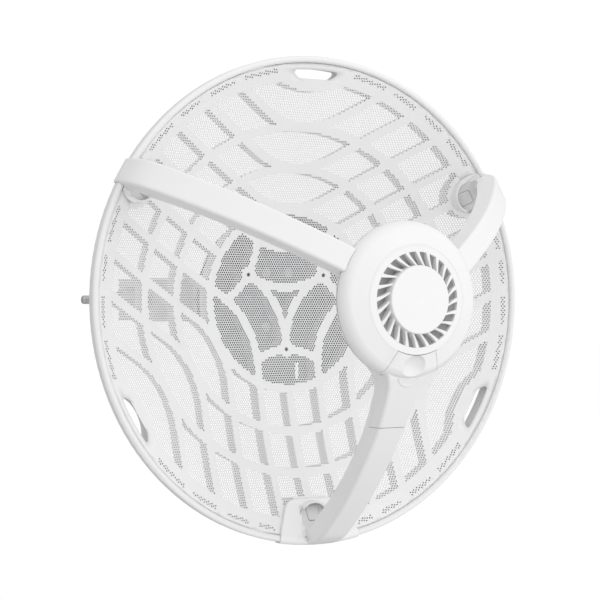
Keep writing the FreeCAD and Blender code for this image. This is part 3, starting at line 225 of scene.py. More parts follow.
def between(tree, value, low, high, from_low=0.3, from_high=0.7):
    """A value mapped to run from low to high; most noise lies between 0.3 and 0.7."""
    made = node(tree, "ShaderNodeMapRange")
    made.inputs["From Min"].default_value = from_low
    made.inputs["From Max"].default_value = from_high
    made.inputs["To Min"].default_value = low
    made.inputs["To Max"].default_value = high
    tree.links.new(value, made.inputs["Value"])
    return made.outputs["Result"]


def blended(tree, share, first, second):
    """A colour between two, by share; each is a colour or a socket."""
    made = node(tree, "ShaderNodeMix", data_type="RGBA")
    for value, socket in ((first, made.inputs["A"]), (second, made.inputs["B"])):
        slot = [s for s in made.inputs if s.name == socket.name and s.type == "RGBA"][0]
        if isinstance(value, tuple):
            slot.default_value = (*value, 1.0)
        else:
            tree.links.new(value, slot)
    tree.links.new(share, made.inputs["Factor"])
    return [s for s in made.outputs if s.type == "RGBA"][0]


def edge_share(tree, rounded, spread):
    """Near 1 where the rounded normal leaves the flat one, at the edges."""
    true = node(tree, "ShaderNodeNewGeometry")
    dot = node(tree, "ShaderNodeVectorMath", operation="DOT_PRODUCT")
    tree.links.new(rounded, dot.inputs[0])
    tree.links.new(true.outputs["Normal"], dot.inputs[1])
    return between(tree, dot.outputs["Value"], 1.0, 0.0, 1.0 - spread, 1.0)


EDGE_MOST = 0.6           # the most that wear covers of an edge
EDGE_LEAST = 0.15
ROUGH_SPREAD = 0.08
SCUFF_SCALE = 140.0
SMEAR_SCALE = 38.0
GRAIN_DEPTH = 0.05        # in millimetres


def finish(name, colour, cloud, edge, rough, grain=900.0, bump=0.25, metal=0.0, radius=0.5,
           cloud_scale=9.0):
    """A finish with clouds in colour and roughness, a fine grain, and worn, rounded edges."""
    made = bpy.data.materials.new(name)
    made.use_nodes = True
    tree = made.node_tree
    shader = tree.nodes["Principled BSDF"]
    shader.inputs["Metallic"].default_value = metal
    where = node(tree, "ShaderNodeTexCoord").outputs["Object"]
    rounded = node(tree, "ShaderNodeBevel", samples=6, Radius=radius * MM).outputs["Normal"]
    clouds = between(tree, noise(tree, where, cloud_scale), 0.0, 1.0)
    speckle = between(tree, noise(tree, where, grain, 2.0), 0.0, 0.35, 0.35, 0.65)
    body = blended(tree, clouds, colour, cloud)
    body = blended(tree, speckle, body, cloud)
    scuffs = noise(tree, where, SCUFF_SCALE, 6.0)
    broken = node(tree, "ShaderNodeMath", operation="MULTIPLY")
    tree.links.new(edge_share(tree, rounded, 0.25), broken.inputs[0])
    tree.links.new(between(tree, scuffs, EDGE_LEAST, EDGE_MOST, 0.4, 0.6), broken.inputs[1])
    tree.links.new(blended(tree, broken.outputs["Value"], body, edge), shader.inputs["Base Color"])
    smear = noise(tree, where, SMEAR_SCALE, 5.0)
    smear = between(tree, smear, rough - ROUGH_SPREAD, rough + ROUGH_SPREAD)
    tree.links.new(smear, shader.inputs["Roughness"])
    relief = node(tree, "ShaderNodeBump", Strength=bump, Distance=GRAIN_DEPTH * MM)
    tree.links.new(noise(tree, where, grain, 3.0), relief.inputs["Height"])
    tree.links.new(rounded, relief.inputs["Normal"])
    tree.links.new(relief.outputs["Normal"], shader.inputs["Normal"])
    return made


print("finish recipe ready")

# %% [markdown]
# ## One finish for each material slot
# The record gives every CAD node a material slot, such as `head_plastic` or `bolt_zinc`. A
# dictionary from slot to finish dresses all of them in one loop, and the new pieces further
# down take their finish from the same dictionary, so a pierced face and the arm beside it are
# sure to match.

# %% Slot finishes
FINISHES = {
    "dish_plastic": finish("dish_white", (0.81, 0.81, 0.81), (0.775, 0.775, 0.78),
                           (0.86, 0.86, 0.86), 0.50, radius=0.25),
    "rim_plastic": finish("rim_white", (0.80, 0.80, 0.80), (0.765, 0.765, 0.77),
                          (0.86, 0.86, 0.86), 0.45),
    "head_plastic": finish("head_white", (0.83, 0.83, 0.83), (0.80, 0.80, 0.805),
                           (0.88, 0.88, 0.88), 0.42),
    "arm_plastic": finish("arm_white", (0.83, 0.83, 0.83), (0.80, 0.80, 0.805),
                          (0.88, 0.88, 0.88), 0.44, radius=0.7),
    "disc_plastic": finish("disc_white", (0.83, 0.83, 0.83), (0.81, 0.81, 0.815),
                           (0.88, 0.88, 0.88), 0.36, bump=0.12),
    # This darker grey also dresses the cup plates in the feet, where it is painted shade of the
    # recess.
    "latch_plastic": finish("latch_grey_and_recess_shade", (0.70, 0.70, 0.70), (0.66, 0.66, 0.665),
                            (0.78, 0.78, 0.78), 0.48, radius=0.3),
    "seal_rubber": finish("seal_black", (0.030, 0.030, 0.032), (0.05, 0.05, 0.052),
                          (0.10, 0.10, 0.10), 0.75, radius=0.2, bump=0.4),
    # This near-black is partly painted shade: it also stands for the shadow on the plate seen through
    # the holes of the face.
    "dark_plastic": finish("back_dark", (0.075, 0.077, 0.080), (0.10, 0.10, 0.105),
                           (0.16, 0.16, 0.165), 0.55),
    # This grey also dresses the rain wall behind the vent blades, where it is painted shade of the
    # gaps.
    "button_plastic": finish("button_grey_and_vent_shade", (0.35, 0.35, 0.36), (0.31, 0.31, 0.32),
                             (0.45, 0.45, 0.46), 0.45, radius=0.2),
    "bare_aluminium": finish("bare_aluminium", (0.62, 0.63, 0.64), (0.54, 0.55, 0.56),
                             (0.78, 0.78, 0.79), 0.36, metal=1.0, bump=0.15, grain=1500.0,
                             radius=0.3),
    "shield_steel": finish("shield_steel", (0.60, 0.60, 0.61), (0.52, 0.52, 0.54),
                           (0.75, 0.75, 0.76), 0.30, metal=1.0, bump=0.08, radius=0.2),
    "jack_shell": finish("jack_shell", (0.66, 0.66, 0.68), (0.58, 0.58, 0.60),
                         (0.80, 0.80, 0.81), 0.26, metal=1.0, bump=0.08, radius=0.2),
    "board_laminate": finish("board_laminate", (0.020, 0.105, 0.055), (0.028, 0.135, 0.07),
                             (0.20, 0.26, 0.14), 0.38, grain=500.0, radius=0.1),
    "screw_steel": finish("screw_steel", (0.52, 0.52, 0.53), (0.44, 0.44, 0.45),
                          (0.72, 0.72, 0.73), 0.33, metal=1.0, bump=0.12, grain=1500.0, radius=0.15),
    "bolt_zinc": finish("bolt_zinc", (0.60, 0.60, 0.58), (0.50, 0.50, 0.49),
                        (0.76, 0.76, 0.75), 0.38, metal=1.0, bump=0.2, grain=700.0,
                        radius=0.3, cloud_scale=160.0),
    "bracket_paint": finish("bracket_paint", (0.42, 0.425, 0.43), (0.38, 0.385, 0.39),
                            (0.58, 0.58, 0.58), 0.46, grain=420.0, bump=0.3, radius=0.6),
    "clamp_paint": finish("clamp_paint", (0.62, 0.62, 0.62), (0.57, 0.57, 0.575),
                          (0.72, 0.72, 0.72), 0.5, grain=420.0, bump=0.3, radius=0.8),
}

SMOOTH_BELOW = math.radians(32)
for part in frame["record"]["subparts"]:
    piece = frame["nodes"][part["node"]]
    piece.data.materials.clear()
    piece.data.materials.append(FINISHES[part["material_slot"]])
    piece.data.polygons.foreach_set("use_smooth", np.ones(len(piece.data.polygons), bool))
    piece.data.set_sharp_from_angle(angle=SMOOTH_BELOW)

# %% [markdown]
# ## Plain mesh building
# The pierced face has far too many holes for boolean cuts. It is much quicker to write the mesh
# down directly: NumPy works out every point and polygon at once, and Blender takes the arrays
# whole. This helper makes a new piece from polygons grouped by their number of corners.

# %% Meshes from arrays
def mesh_piece(name, points, groups, slot, body, smooth=False):
    """A new piece of the object from points in metres and arrays of polygons."""
    corners = np.concatenate([g.ravel() for g in groups])
    sizes = np.concatenate([np.full(len(g), g.shape[1]) for g in groups])
    mesh = bpy.data.meshes.new(name)
    mesh.vertices.add(len(points))
    mesh.vertices.foreach_set("co", np.asarray(points, np.float32).ravel())
    mesh.loops.add(len(corners))
    mesh.loops.foreach_set("vertex_index", corners.astype(np.int32))
    mesh.polygons.add(len(sizes))
    mesh.polygons.foreach_set("loop_start", (np.cumsum(sizes) - sizes).astype(np.int32))
    mesh.polygons.foreach_set("use_smooth", np.full(len(sizes), smooth))
    mesh.update(calc_edges=True)
    mesh.validate()
    mesh.materials.append(FINISHES[slot])
    piece = bpy.data.objects.new(name, mesh)
    bpy.context.scene.collection.objects.link(piece)
    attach(piece, body)
    return piece


def sheet_of_cells(name, outline, keys, holes, pierced, top=0.0, bottom=-SHEET):
    """A sheet on the dish's surface made of cells, some with a hole.

    outline holds each cell's corners in the plan, keys a whole-number address for each corner so
    that neighbours share it, and holes each cell's hole corners. top and bottom are heights over
    the dish's surface. Only the front is laid out: the back copies it, and every edge that has a
    face on just one side is closed by a wall."""
    flat_keys = keys.reshape(-1, 2)
    _, first, index = np.unique(flat_keys, axis=0, return_index=True, return_inverse=True)
    shared = outline.reshape(-1, 2)[first]
    rim = index.reshape(outline.shape[:2])
    around = rim.shape[1]
    bored = np.flatnonzero(pierced)
    inner = len(shared) + np.arange(len(bored) * around).reshape(-1, around)
    plan = np.concatenate((shared, holes[bored].reshape(-1, 2)))
    quads = np.stack(
        (rim[bored], np.roll(rim[bored], -1, 1), np.roll(inner, -1, 1), inner), axis=2
    ).reshape(-1, 4)
    plates = rim[~pierced]
    starts = np.concatenate((quads.ravel(), plates.ravel()))
    ends = np.concatenate((np.roll(quads, -1, 1).ravel(), np.roll(plates, -1, 1).ravel()))
    count = len(plan)
    open_edge = ~np.isin(starts * count + ends, ends * count + starts)
    a, b = starts[open_edge], ends[open_edge]
    walls = np.column_stack((a, a + count, b + count, b))
    height = dish_z(np.hypot(plan[:, 0], plan[:, 1]))
    front = np.column_stack((plan, height + top))
    back = np.column_stack((plan, height + bottom))
    points = to_row(np.concatenate((front, back)))
    groups = [np.concatenate((quads, (quads + count)[:, ::-1], walls))]
    if len(plates):
        groups.append(np.concatenate((plates, (plates + count)[:, ::-1])))
    return mesh_piece(name, points, groups, "dish_plastic", "dish")


def loft(name, loops, slot, body, capped=False, smooth=False):
    """A piece through loops of points of the dish frame: a closed ring, or a capped stack."""
    around = len(loops[0])
    index = np.arange(len(loops) * around).reshape(len(loops), around)
    pairs = list(zip(index, index[1:])) + ([] if capped else [(index[-1], index[0])])
    sides = [np.column_stack((a, b, np.roll(b, -1), np.roll(a, -1))) for a, b in pairs]
    groups = [np.concatenate(sides)]
    if capped:
        groups.append(np.stack((index[0][::-1], index[-1])))
    piece = mesh_piece(name, to_row(np.concatenate(loops)), groups, slot, body, smooth)
    shape = bmesh.new()
    shape.from_mesh(piece.data)
    bmesh.ops.recalc_face_normals(shape, faces=shape.faces)
    shape.to_mesh(piece.data)
    shape.free()
    if smooth:
        piece.data.set_sharp_from_angle(angle=SMOOTH_BELOW)
    return piece


print("mesh helpers ready")

# %% [markdown]
# ## Where the dish stays solid
# The ribs behind the face show through as solid bands, because the face isn't pierced over them.
# There are three rings, and a net of curved bands that repeats three times round the dish. Rather
# than draw each band, a function gives every point's distance to the nearest band's edge, so
# that a hole is left out wherever that distance is too small for it.

# %% Distance to the solid bands
HALF_BAND = 2.8           # half the width of a band
RING_RADII = (78.0, 114.0, 149.0)
EDGE_BAND_R = 187.5
CURVED_BANDS = ((0.0, 46.0), (30.0, 190.75), (60.0, 190.75), (90.0, 190.75), (120.0, 190.75))
BEND_R = 71.0             # a curved band is (how far out its bend lies, the radius it runs to)
BAND_LEAN = math.radians(30)
ARM_ANGLES = (30.0, 150.0, 270.0)
BOSS_POS_R = 43.5
BOSS_R = 6.5
HANDLE_PAD = (269.4, 90.4)                # middle and radius of the solid patch at a handle
SHORT_ARC = (-103.5, 59.5, 28.0)          # middle, radius and half width
UPPER_FOOT_PAD = (191.0, 21.1)            # middle and radius
LOWER_FOOT_PAD = ((170.0, 178.0, 190.0, 196.0, 202.0),   # radii, and the half width at each
                  (15.0, 28.0, 33.0, 38.0, 38.5))
PAD_LAP = 2.0             # the lower pad starts this far inside its first radius
LOWER_ARM = 270.0


def curved_band_distance(x, y, offset, reach):
    """Distance to the middle of a band that runs straight, bends and runs straight again."""
    c, s = math.cos(BAND_LEAN), math.sin(BAND_LEAN)
    qx, qy = np.abs(x), y - (offset + BEND_R) / c
    along = qx * c + qy * s
    across = qy * c - qx * s
    straight = np.abs(across + BEND_R)
    bend = np.where(qy < 0, np.abs(np.hypot(qx, qy) - BEND_R), np.inf)
    found = np.where(along > 0, straight, bend)
    return np.where(np.hypot(x, y) < reach, found, np.inf)


def band_clearance(x, y):
    """How far a point lies from the nearest solid part of the face; negative inside it."""
    r = np.hypot(x, y)
    nearest = EDGE_BAND_R - r
    for ring_r in RING_RADII:
        nearest = np.minimum(nearest, np.abs(r - ring_r) - HALF_BAND)
    for turn in (0.0, 120.0, 240.0):
        c, s = math.cos(math.radians(turn)), math.sin(math.radians(turn))
        u, v = x * c + y * s, y * c - x * s
        for offset, reach in CURVED_BANDS:
            nearest = np.minimum(nearest, curved_band_distance(u, v, offset, reach) - HALF_BAND)
        nearest = np.minimum(nearest, np.hypot(u, v - HANDLE_PAD[0]) - HANDLE_PAD[1])
        arc_y, arc_r, arc_half = SHORT_ARC
        on_arc = (np.abs(u) < arc_half) & (v > arc_y)
        arc = np.abs(np.hypot(u, v - arc_y) - arc_r) - HALF_BAND
        nearest = np.minimum(nearest, np.where(on_arc, arc, np.inf))
        spoke = np.where((v < -RING_RADII[0]) & (v > -EDGE_BAND_R), np.abs(u) - HALF_BAND, np.inf)
        nearest = np.minimum(nearest, spoke)
    for angle in ARM_ANGLES:
        c, s = math.cos(math.radians(angle)), math.sin(math.radians(angle))
        out, side = x * c + y * s, y * c - x * s
        nearest = np.minimum(nearest, np.hypot(out - BOSS_POS_R, side) - BOSS_R)
        if angle == LOWER_ARM:
            half = np.interp(out, *LOWER_FOOT_PAD)
            pad = np.where(out > LOWER_FOOT_PAD[0][0] - PAD_LAP, np.abs(side) - half, np.inf)
        else:
            pad = np.hypot(out - UPPER_FOOT_PAD[0], side) - UPPER_FOOT_PAD[1]
        nearest = np.minimum(nearest, pad)
    return nearest


sample = band_clearance(np.array([60.0]), np.array([20.0]))[0]
print(f"clearance at the point (60, 20): {sample:.1f} mm")

# %% [markdown]
# ## The pierced face
# The holes stand in rows, each row shifted by half a step, which is how the closest packing
# falls out. Every hole then has a six-sided cell round it. A cell is drawn with twelve
# corners, its six real ones and the middles of its sides, so that twelve-sided holes join it
# with clean four-sided faces. The face is built in twelve slices, because a single mesh of over a
# million triangles is slow to handle. The pierced sheet is thin, and the closed cells carry a
# second layer, the seats, that reaches back to the ribs.

# %% Pierced face
HOLE_STEP = 2.25
HOLE_R = 0.80
HOLE_CLEAR = 0.85         # a hole's middle stays this far from a band's edge
FIELD_R = 187.6           # the field of cells ends here
COLUMNS = 90              # enough on each side of the middle for the field and the edge
BOSS_LAP = 1.6            # cells reach this far over a boss's edge
SEAT_LAP = 0.02
ROW_STEP = HOLE_STEP * math.sqrt(3) / 2


def lattice(reach):
    """Middles of the cells in the rows that lie within a reach of the dish's middle."""
    row_count = int(reach / ROW_STEP) + 1
    rows, cols = np.meshgrid(np.arange(-row_count, row_count + 1), np.arange(-COLUMNS, COLUMNS + 1),
                             indexing="ij")
    rows, cols = rows.ravel(), cols.ravel()
    return (cols + 0.5 * (rows % 2)) * HOLE_STEP, rows * ROW_STEP


def cells_about(x, y, hole_r):
    """Outlines, hole rims and whole-number addresses of the cells about these middles."""
    middles = np.column_stack((x, y))[:, None, :]
    outline = middles + ring_xy * corner_r[:, None]
    keys = np.rint(outline / np.array((HOLE_STEP / 4, ROW_STEP / 6))).astype(np.int64)
    return outline, keys, middles + ring_xy * hole_r


turns = np.radians(30.0 * np.arange(12))
corner_r = np.where(np.arange(12) % 2, HOLE_STEP / math.sqrt(3), HOLE_STEP / 2)
ring_xy = np.column_stack((np.cos(turns), np.sin(turns)))
cell_x, cell_y = lattice(FIELD_R)
in_field = np.hypot(cell_x, cell_y) < FIELD_R
for angle in ARM_ANGLES:
    boss_x = BOSS_POS_R * math.cos(math.radians(angle))
    boss_y = BOSS_POS_R * math.sin(math.radians(angle))
    in_field &= np.hypot(cell_x - boss_x, cell_y - boss_y) > BOSS_R - BOSS_LAP
cell_x, cell_y = cell_x[in_field], cell_y[in_field]

outline, keys, hole_rims = cells_about(cell_x, cell_y, HOLE_R)
pierced = band_clearance(cell_x, cell_y) > HOLE_CLEAR

SLICES = 12
slice_of = (np.degrees(np.arctan2(cell_y, cell_x)) % 360 // (360 / SLICES)).astype(int)
for k in range(SLICES):
    mine = slice_of == k
    sheet_of_cells(f"pierced_face_{k + 1:02d}", outline[mine], keys[mine],
                                      hole_rims[mine], pierced[mine], bottom=-PIERCED_T)
    mine &= ~pierced
    sheet_of_cells(f"rib_seat_{k + 1:02d}", outline[mine], keys[mine], hole_rims[mine],
                   pierced[mine], top=SEAT_LAP - PIERCED_T)
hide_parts("reflector_skin")

# %% [markdown]
# ## The clean edge of the face
# Outside the pierced field the face is a smooth band with finger slots, sockets for the arms'
# feet, and a double row of small holes in long dashes. The CAD face already has the slots and
# sockets, so a copy of it is cut back to this band with a boolean. The dashes are cut out of it
# too. The rows that fill the field carry on behind these openings, so each is closed with a strip
# of the same cells with slightly smaller holes, which fall one or two deep.

# %% Dashes of edge holes
DASH_R = (193.95, 198.05)
DASH_STEP_DEG = 0.6
EDGE_HOLE_R = 0.66
GAP_DEG = 1.3                     # half a gap between two dashes
GAPS_AT = (18.0, 27.4, 38.0)      # gaps on each side of an arm
UPPER_FOOT_DEG, LOWER_FOOT_DEG = 7.5, 11.8
HANDLE_AT, HANDLE_DEG = 60.0, 11.0
STRIP_LAP = 1.6                   # a strip reaches this far behind its opening's edge
STRIP_LAP_DEG = 0.5
HOLE_IN = 0.6                     # a hole's middle stays this far inside its opening
HOLE_IN_DEG = 0.25


def dashes():
    """The (first, last) angle of each dash: between gaps near each arm, and around the handles."""
    spans = []
    for arm_angle in ARM_ANGLES:
        foot = LOWER_FOOT_DEG if arm_angle == LOWER_ARM else UPPER_FOOT_DEG
        marks = (foot - GAP_DEG, *GAPS_AT)
        stops = [m - GAP_DEG for m in GAPS_AT] + [HANDLE_AT - HANDLE_DEG]
        for start, stop in zip(marks, stops):
            for side in (-1, 1):
                ends = sorted((arm_angle + side * (start + GAP_DEG), arm_angle + side * stop))
                spans.append(tuple(ends))
    return spans


def ring_prism(shape, r_in, r_out, first, last, z_low, z_high, steps):
    """Adds a closed block between two radii and two angles of the dish to a bmesh."""
    sections = []
    for angle in np.radians(np.linspace(first, last, steps + 1)):
        corners = [(r_in, z_low), (r_out, z_low), (r_out, z_high), (r_in, z_high)]
        places = to_row([(r * math.cos(angle), r * math.sin(angle), z) for r, z in corners])
        sections.append([shape.verts.new(p) for p in places])
    for one, two in zip(sections, sections[1:]):
        for k in range(4):
            shape.faces.new((one[k], one[(k + 1) % 4], two[(k + 1) % 4], two[k]))
    shape.faces.new(sections[0][::-1])
    shape.faces.new(sections[-1])


rim_x, rim_y = lattice(DASH_R[1] + STRIP_LAP)
rim_r, rim_deg = np.hypot(rim_x, rim_y), np.degrees(np.arctan2(rim_y, rim_x))
edge_hole_count = 0
for k, (first, last) in enumerate(dashes()):
    off = (rim_deg - 0.5 * (first + last) + 180.0) % 360.0 - 180.0
    half = 0.5 * (last - first)
    mine = (rim_r > DASH_R[0] - STRIP_LAP) & (rim_r < DASH_R[1] + STRIP_LAP)
    mine &= np.abs(off) < half + STRIP_LAP_DEG
    cells, cell_keys, rims = cells_about(rim_x[mine], rim_y[mine], EDGE_HOLE_R)
    inside = (rim_r[mine] > DASH_R[0] + HOLE_IN) & (rim_r[mine] < DASH_R[1] - HOLE_IN)
    inside &= np.abs(off[mine]) < half - HOLE_IN_DEG
    edge_hole_count += int(inside.sum())
    sheet_of_cells(f"edge_holes_{k + 1:02d}", cells, cell_keys, rims, inside)
print("dashes:", len(dashes()), "edge holes:", edge_hole_count)

# %% Clean edge band
BAND_IN_R = 186.2         # the cut keeps what lies outside this radius
CUT_MIDDLE, CUT_DEPTH = 30.0, 0.14        # of the plug that takes the middle out
DASH_REACH = 12.0         # how far the dashes' blocks reach each way from the level plane
PROUD = 0.03              # smooth parts stand this far before the cells
band = bpy.data.objects.new("face_edge_band", frame["nodes"]["reflector_skin"].data.copy())
bpy.context.scene.collection.objects.link(band)
cutter_mesh = bpy.data.meshes.new("band_cutter")
shape = bmesh.new()
centre = Matrix.Translation(Vector((DISH_X, DISH_Y + CUT_MIDDLE, 0)) * MM)
centre = centre @ Matrix.Rotation(math.radians(90), 4, "X")
bmesh.ops.create_cone(shape, cap_ends=True, segments=240, radius1=BAND_IN_R * MM,
                      radius2=BAND_IN_R * MM, depth=CUT_DEPTH, matrix=centre)
for first, last in dashes():
    steps = max(2, round((last - first) / DASH_STEP_DEG))
    ring_prism(shape, *DASH_R, first, last, -DASH_REACH, DASH_REACH, steps)
bmesh.ops.recalc_face_normals(shape, faces=shape.faces)
shape.to_mesh(cutter_mesh)
shape.free()
cutter = bpy.data.objects.new("band_cutter", cutter_mesh)
bpy.context.scene.collection.objects.link(cutter)
trim = band.modifiers.new("trim", "BOOLEAN")
trim.operation = "DIFFERENCE"
trim.solver = "EXACT"
trim.object = cutter
bpy.context.view_layer.update()
trimmed = band.evaluated_get(bpy.context.evaluated_depsgraph_get())
band.data = bpy.data.meshes.new_from_object(trimmed)
band.modifiers.clear()
bpy.data.objects.remove(cutter)
band.data.transform(Matrix.Translation((0, -PROUD * MM, 0)))
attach(band, "dish")
print("edge band faces:", len(band.data.polygons))

# %% [markdown]
# ## Screw bosses in the face
# Three long screws hold the back plate. Each ends inside a round boss, whose end fills a small
# disc of the face and has a hole in its middle. The cells there were left out, and a plain ring
# closes each gap.

# %% Boss rings
BOSS_HOLE_R = 1.7
spin = np.radians(np.arange(48) * 7.5)
for angle in ARM_ANGLES:
    mid = BOSS_POS_R * np.array((math.cos(math.radians(angle)), math.sin(math.radians(angle))))
    loops = []
    section = ((BOSS_HOLE_R, -SHEET), (BOSS_HOLE_R, PROUD), (BOSS_R, PROUD), (BOSS_R, -SHEET))
    for radius, lift in section:
        x, y = mid[0] + radius * np.cos(spin), mid[1] + radius * np.sin(spin)
        loops.append(np.column_stack((x, y, dish_z(np.hypot(x, y)) + lift)))
    loft(f"boss_ring_{int(angle):03d}", loops, "dish_plastic", "dish")
print("boss rings:", len(ARM_ANGLES))

# %% [markdown]
# ## Feet
# Each arm plugs into the dish with a round cup, and a square button in it unlocks it. CAD has
# the deep cup and the button's body. What a person sees is a shallow round recess, closed by a
# plate that follows the dish, with the button's cap filling a square window in it. The plate takes
# the darker latch finish as painted shade, which stands for the shadow in the recess. The plate is
# a loft from a circle to a square with rounded corners, drawn along rays from the button's
# middle so that both loops have matching points. The cap rides with the button, so it sinks
# through the window when the button is pressed.

# %% Cup plates and latch caps
CUP_POS_R = 186.2
CUP_IN_R = 12.95
LATCH_POS_R = 182.0
LATCH_HALF = 5.8
WINDOW_HALF = 6.25
PLATE_LIFT, PLATE_THICK = 1.0, 1.2
CAP_EDGE, CAP_TOP = 0.2, 0.7      # the cap's edge and top, over the plate
CORNER_POWER = 0.28               # lower makes the corners of the square sharper
LATCH_FOOT_Z = -9.2
rays = np.radians(np.arange(64) * 5.625)


def squared(half):
    """A square loop with rounded corners about the origin."""
    round_xy = np.column_stack((np.cos(rays), np.sin(rays)))
    return half * np.sign(round_xy) * np.abs(round_xy) ** CORNER_POWER


def in_arm(plan, angle, height):
    """Points drawn with the arm along x, at a height over the dish's surface, turned to the arm."""
    x, y = plan.T
    z = dish_z(np.hypot(x, y)) + height
    c, s = math.cos(math.radians(angle)), math.sin(math.radians(angle))
    return np.column_stack((x * c - y * s, x * s + y * c, z))


window = squared(WINDOW_HALF) + (LATCH_POS_R, 0)
toward = window - (LATCH_POS_R, 0)
toward /= np.linalg.norm(toward, axis=1, keepdims=True)
offset = CUP_POS_R - LATCH_POS_R
reach = toward[:, 0] * offset + np.sqrt(CUP_IN_R**2 - (toward[:, 1] * offset) ** 2)
circle = toward * reach[:, None] + (LATCH_POS_R, 0)
cap_outline = squared(LATCH_HALF) + (LATCH_POS_R, 0)
cap_top = squared(LATCH_HALF - CAP_TOP) + (LATCH_POS_R, 0)
plate_back = PLATE_LIFT - PLATE_THICK
plate = ((circle, plate_back), (circle, PLATE_LIFT), (window, PLATE_LIFT), (window, plate_back))
for name, angle in zip(("upper_right", "upper_left", "lower"), ARM_ANGLES):
    loops = [in_arm(plan, angle, lift) for plan, lift in plate]
    # The darker latch finish on the plate is painted shade for the recess.
    loft(f"foot_cup_plate_{name}", loops, "latch_plastic", "dish", smooth=True)
    foot = in_arm(cap_outline, angle, 0.0)
    foot[:, 2] = LATCH_FOOT_Z
    stack = [foot, in_arm(cap_outline, angle, PLATE_LIFT + CAP_EDGE),
             in_arm(cap_top, angle, PLATE_LIFT + CAP_TOP)]
    loft(f"foot_latch_cap_{name}", stack, "latch_plastic", f"foot_latch_{name}", capped=True,
         smooth=True)
print("cup plates and latch caps: 3 of each")

# %% [markdown]
# ## Vent of the radio head
# Warm air leaves the head through a ring of swept blades. Moulded blades are wider at the root
# than a plain CAD blade, and behind them a sloped wall keeps rain and daylight out. The wall
# takes the grey button finish as painted shade, so the gaps look grey and not black. The blades
# are solid slabs whose plan sweeps back as it goes in.
# The front edge of each follows the cone from the flat ring to the raised disc. A thin washer
# closes the parting line between the flat ring and the head's shell, which is one moulding.

# %% Vent blades, rain wall and closing washer
FACE_Z = 154.2
VENT_IN_R, VENT_OUT_R = 26.3, 37.3
BLADES = 24
BLADE_SWEEP = (-11.5, -3.9, 0.0)          # degrees, at the inner end, middle and outer end
BLADE_HALF = (1.0, 1.2, 1.8)              # half the width in millimetres at the same places
BLADE_TOP = (156.25, FACE_Z + 0.42)       # heights at the inner and outer end
BLADE_LOW = (149.0, 151.1)
SOFT_TOP, SOFT_DEG = 0.3, 0.5             # the small slope on a blade's front corners
STEPS = 9


def through(values, t):
    """The smooth curve through a first, middle and last value."""
    first, middle, last = values
    return first * (1 - t) * (1 - 2 * t) + middle * 4 * t * (1 - t) + last * t * (2 * t - 1)


def blade_loops(turn):
    """Cross sections of the blade at this angle, from its inner end outward."""
    loops = []
    for t in np.linspace(0, 1, STEPS):
        r = VENT_IN_R + (VENT_OUT_R - VENT_IN_R) * t
        middle, half = turn + through(BLADE_SWEEP, t), math.degrees(through(BLADE_HALF, t) / r)
        top, low = np.interp(t, (0, 1), BLADE_TOP), np.interp(t, (0, 1), BLADE_LOW)
        corners = [(-half, low), (half, low), (half, top - SOFT_TOP), (half - SOFT_DEG, top),
                   (SOFT_DEG - half, top), (-half, top - SOFT_TOP)]
        sides, heights = np.array(corners).T
        angles = np.radians(middle + sides)
        loops.append(np.column_stack((r * np.cos(angles), r * np.sin(angles), heights)))
    return loops


for k in range(BLADES):
    loft(f"vent_blade_{k + 1:02d}", blade_loops(360.0 * k / BLADES), "head_plastic", "dish",
         capped=True, smooth=True)

RING_STEPS = 120
WALL_PROFILE = ((26.4, 149.2), (37.4, 151.3), (37.4, 150.7), (26.4, 148.6))   # (radius, height)
about = np.radians(np.linspace(0.0, 360.0, RING_STEPS, endpoint=False))
loops = [np.column_stack((r * np.cos(about), r * np.sin(about), np.full(RING_STEPS, z)))
         for r, z in WALL_PROFILE]
# The rain wall's grey is painted shade: it stands for the shadow in the gaps between the blades.
loft("vent_rain_wall_painted_shade", loops, "button_plastic", "dish", smooth=True)

PORT_HALF_DEG = 24.6      # the washer leaves out the port cover
WASHER_PROFILE = ((42.0, FACE_Z - 0.2), (42.0, FACE_Z + 0.02), (42.75, FACE_Z + 0.03),
                  (43.35, FACE_Z - 0.2), (43.2, FACE_Z - 0.5))
radii, heights = np.array(WASHER_PROFILE).T
first, last = LOWER_ARM + PORT_HALF_DEG, LOWER_ARM + 360.0 - PORT_HALF_DEG
about = np.radians(np.linspace(first, last, RING_STEPS + 1))
sections = [np.column_stack((radii * math.cos(a), radii * math.sin(a), heights)) for a in about]
loft("head_closing_washer", sections, "head_plastic", "dish", capped=True, smooth=True)
print("vent blades:", BLADES)

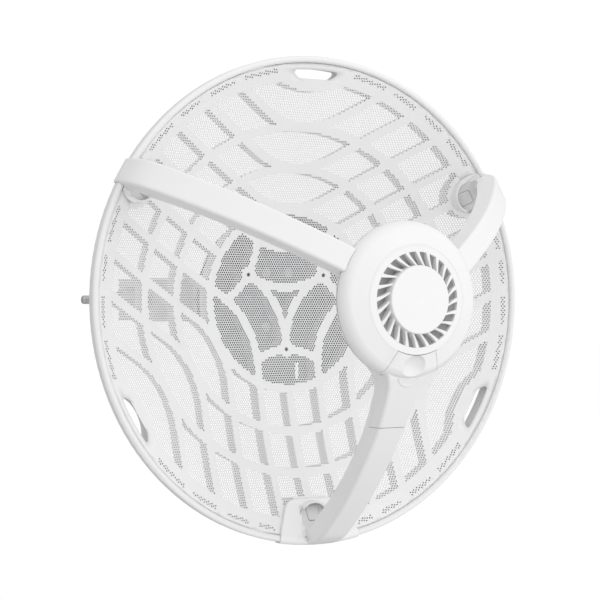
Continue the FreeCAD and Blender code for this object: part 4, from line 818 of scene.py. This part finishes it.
# %% [markdown]
# ## Threads on the clamp's studs
# The CAD studs are plain rods. A thread is a profile that climbs as it goes round, so each point
# of a fine grid takes its radius from how far round and along it is. That needs no screw
# modifier, and both ends stay flat and closed. The crests keep to the rod's own radius.

# %% Threaded studs
THREAD_STEP = 1.25
THREAD_DEPTH = 0.62
AROUND = 28
PER_TURN = 8
CHAMFER = 1.0
TIP_DEPTH = 0.9           # how much the tip's chamfer takes off the radius
FLANK, ROOT = 1.25, 0.1   # how steep a flank is, and the share of it cut off as a flat root
CREST_CLEAR = 0.01        # crests stay this far inside the rod's own radius
low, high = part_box("clamp_studs")
stud_r = 0.5 * (high.z - low.z) / MM
stud_y = (low.y / MM + stud_r, high.y / MM - stud_r)
start_x, end_x = low.x / MM, high.x / MM
ring_count = int((end_x - start_x) / THREAD_STEP * PER_TURN) + 1
along = np.linspace(start_x, end_x, ring_count)
about = 2 * np.pi * np.arange(AROUND) / AROUND
phase = (along[:, None] / THREAD_STEP - about / (2 * np.pi)) % 1.0
crest = np.clip(np.abs(2 * phase - 1) * FLANK - ROOT, 0, 1)
radius = stud_r - CREST_CLEAR - THREAD_DEPTH * (1 - crest)
tip = np.clip((along - start_x) / CHAMFER, 0, 1)[:, None]
radius = np.minimum(radius, stud_r - TIP_DEPTH * (1 - tip))
for name, middle_y in zip(("front", "rear"), stud_y):
    points = np.stack((np.broadcast_to(along[:, None], radius.shape),
                       middle_y + radius * np.cos(about), radius * np.sin(about)), axis=2)
    points = points.reshape(-1, 3) * MM
    index = np.arange(ring_count * AROUND).reshape(ring_count, AROUND)
    here, there = index[:-1], index[1:]
    sides = np.stack((there, np.roll(there, -1, 1), np.roll(here, -1, 1), here), axis=2)
    groups = [sides.reshape(-1, 4), np.stack((index[0], index[-1][::-1]))]
    stud = mesh_piece(f"threaded_stud_{name}", points, groups, "bolt_zinc", "clamp", smooth=True)
    if name == "front":
        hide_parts("clamp_studs")
print(f"studs: {stud_r:.2f} mm in radius, {end_x - start_x:.1f} mm long, {ring_count} rings")

# %% Print the CAD box
print("CAD box", [tuple(round(v, 4) for v in c) for c in CAD_BOX])
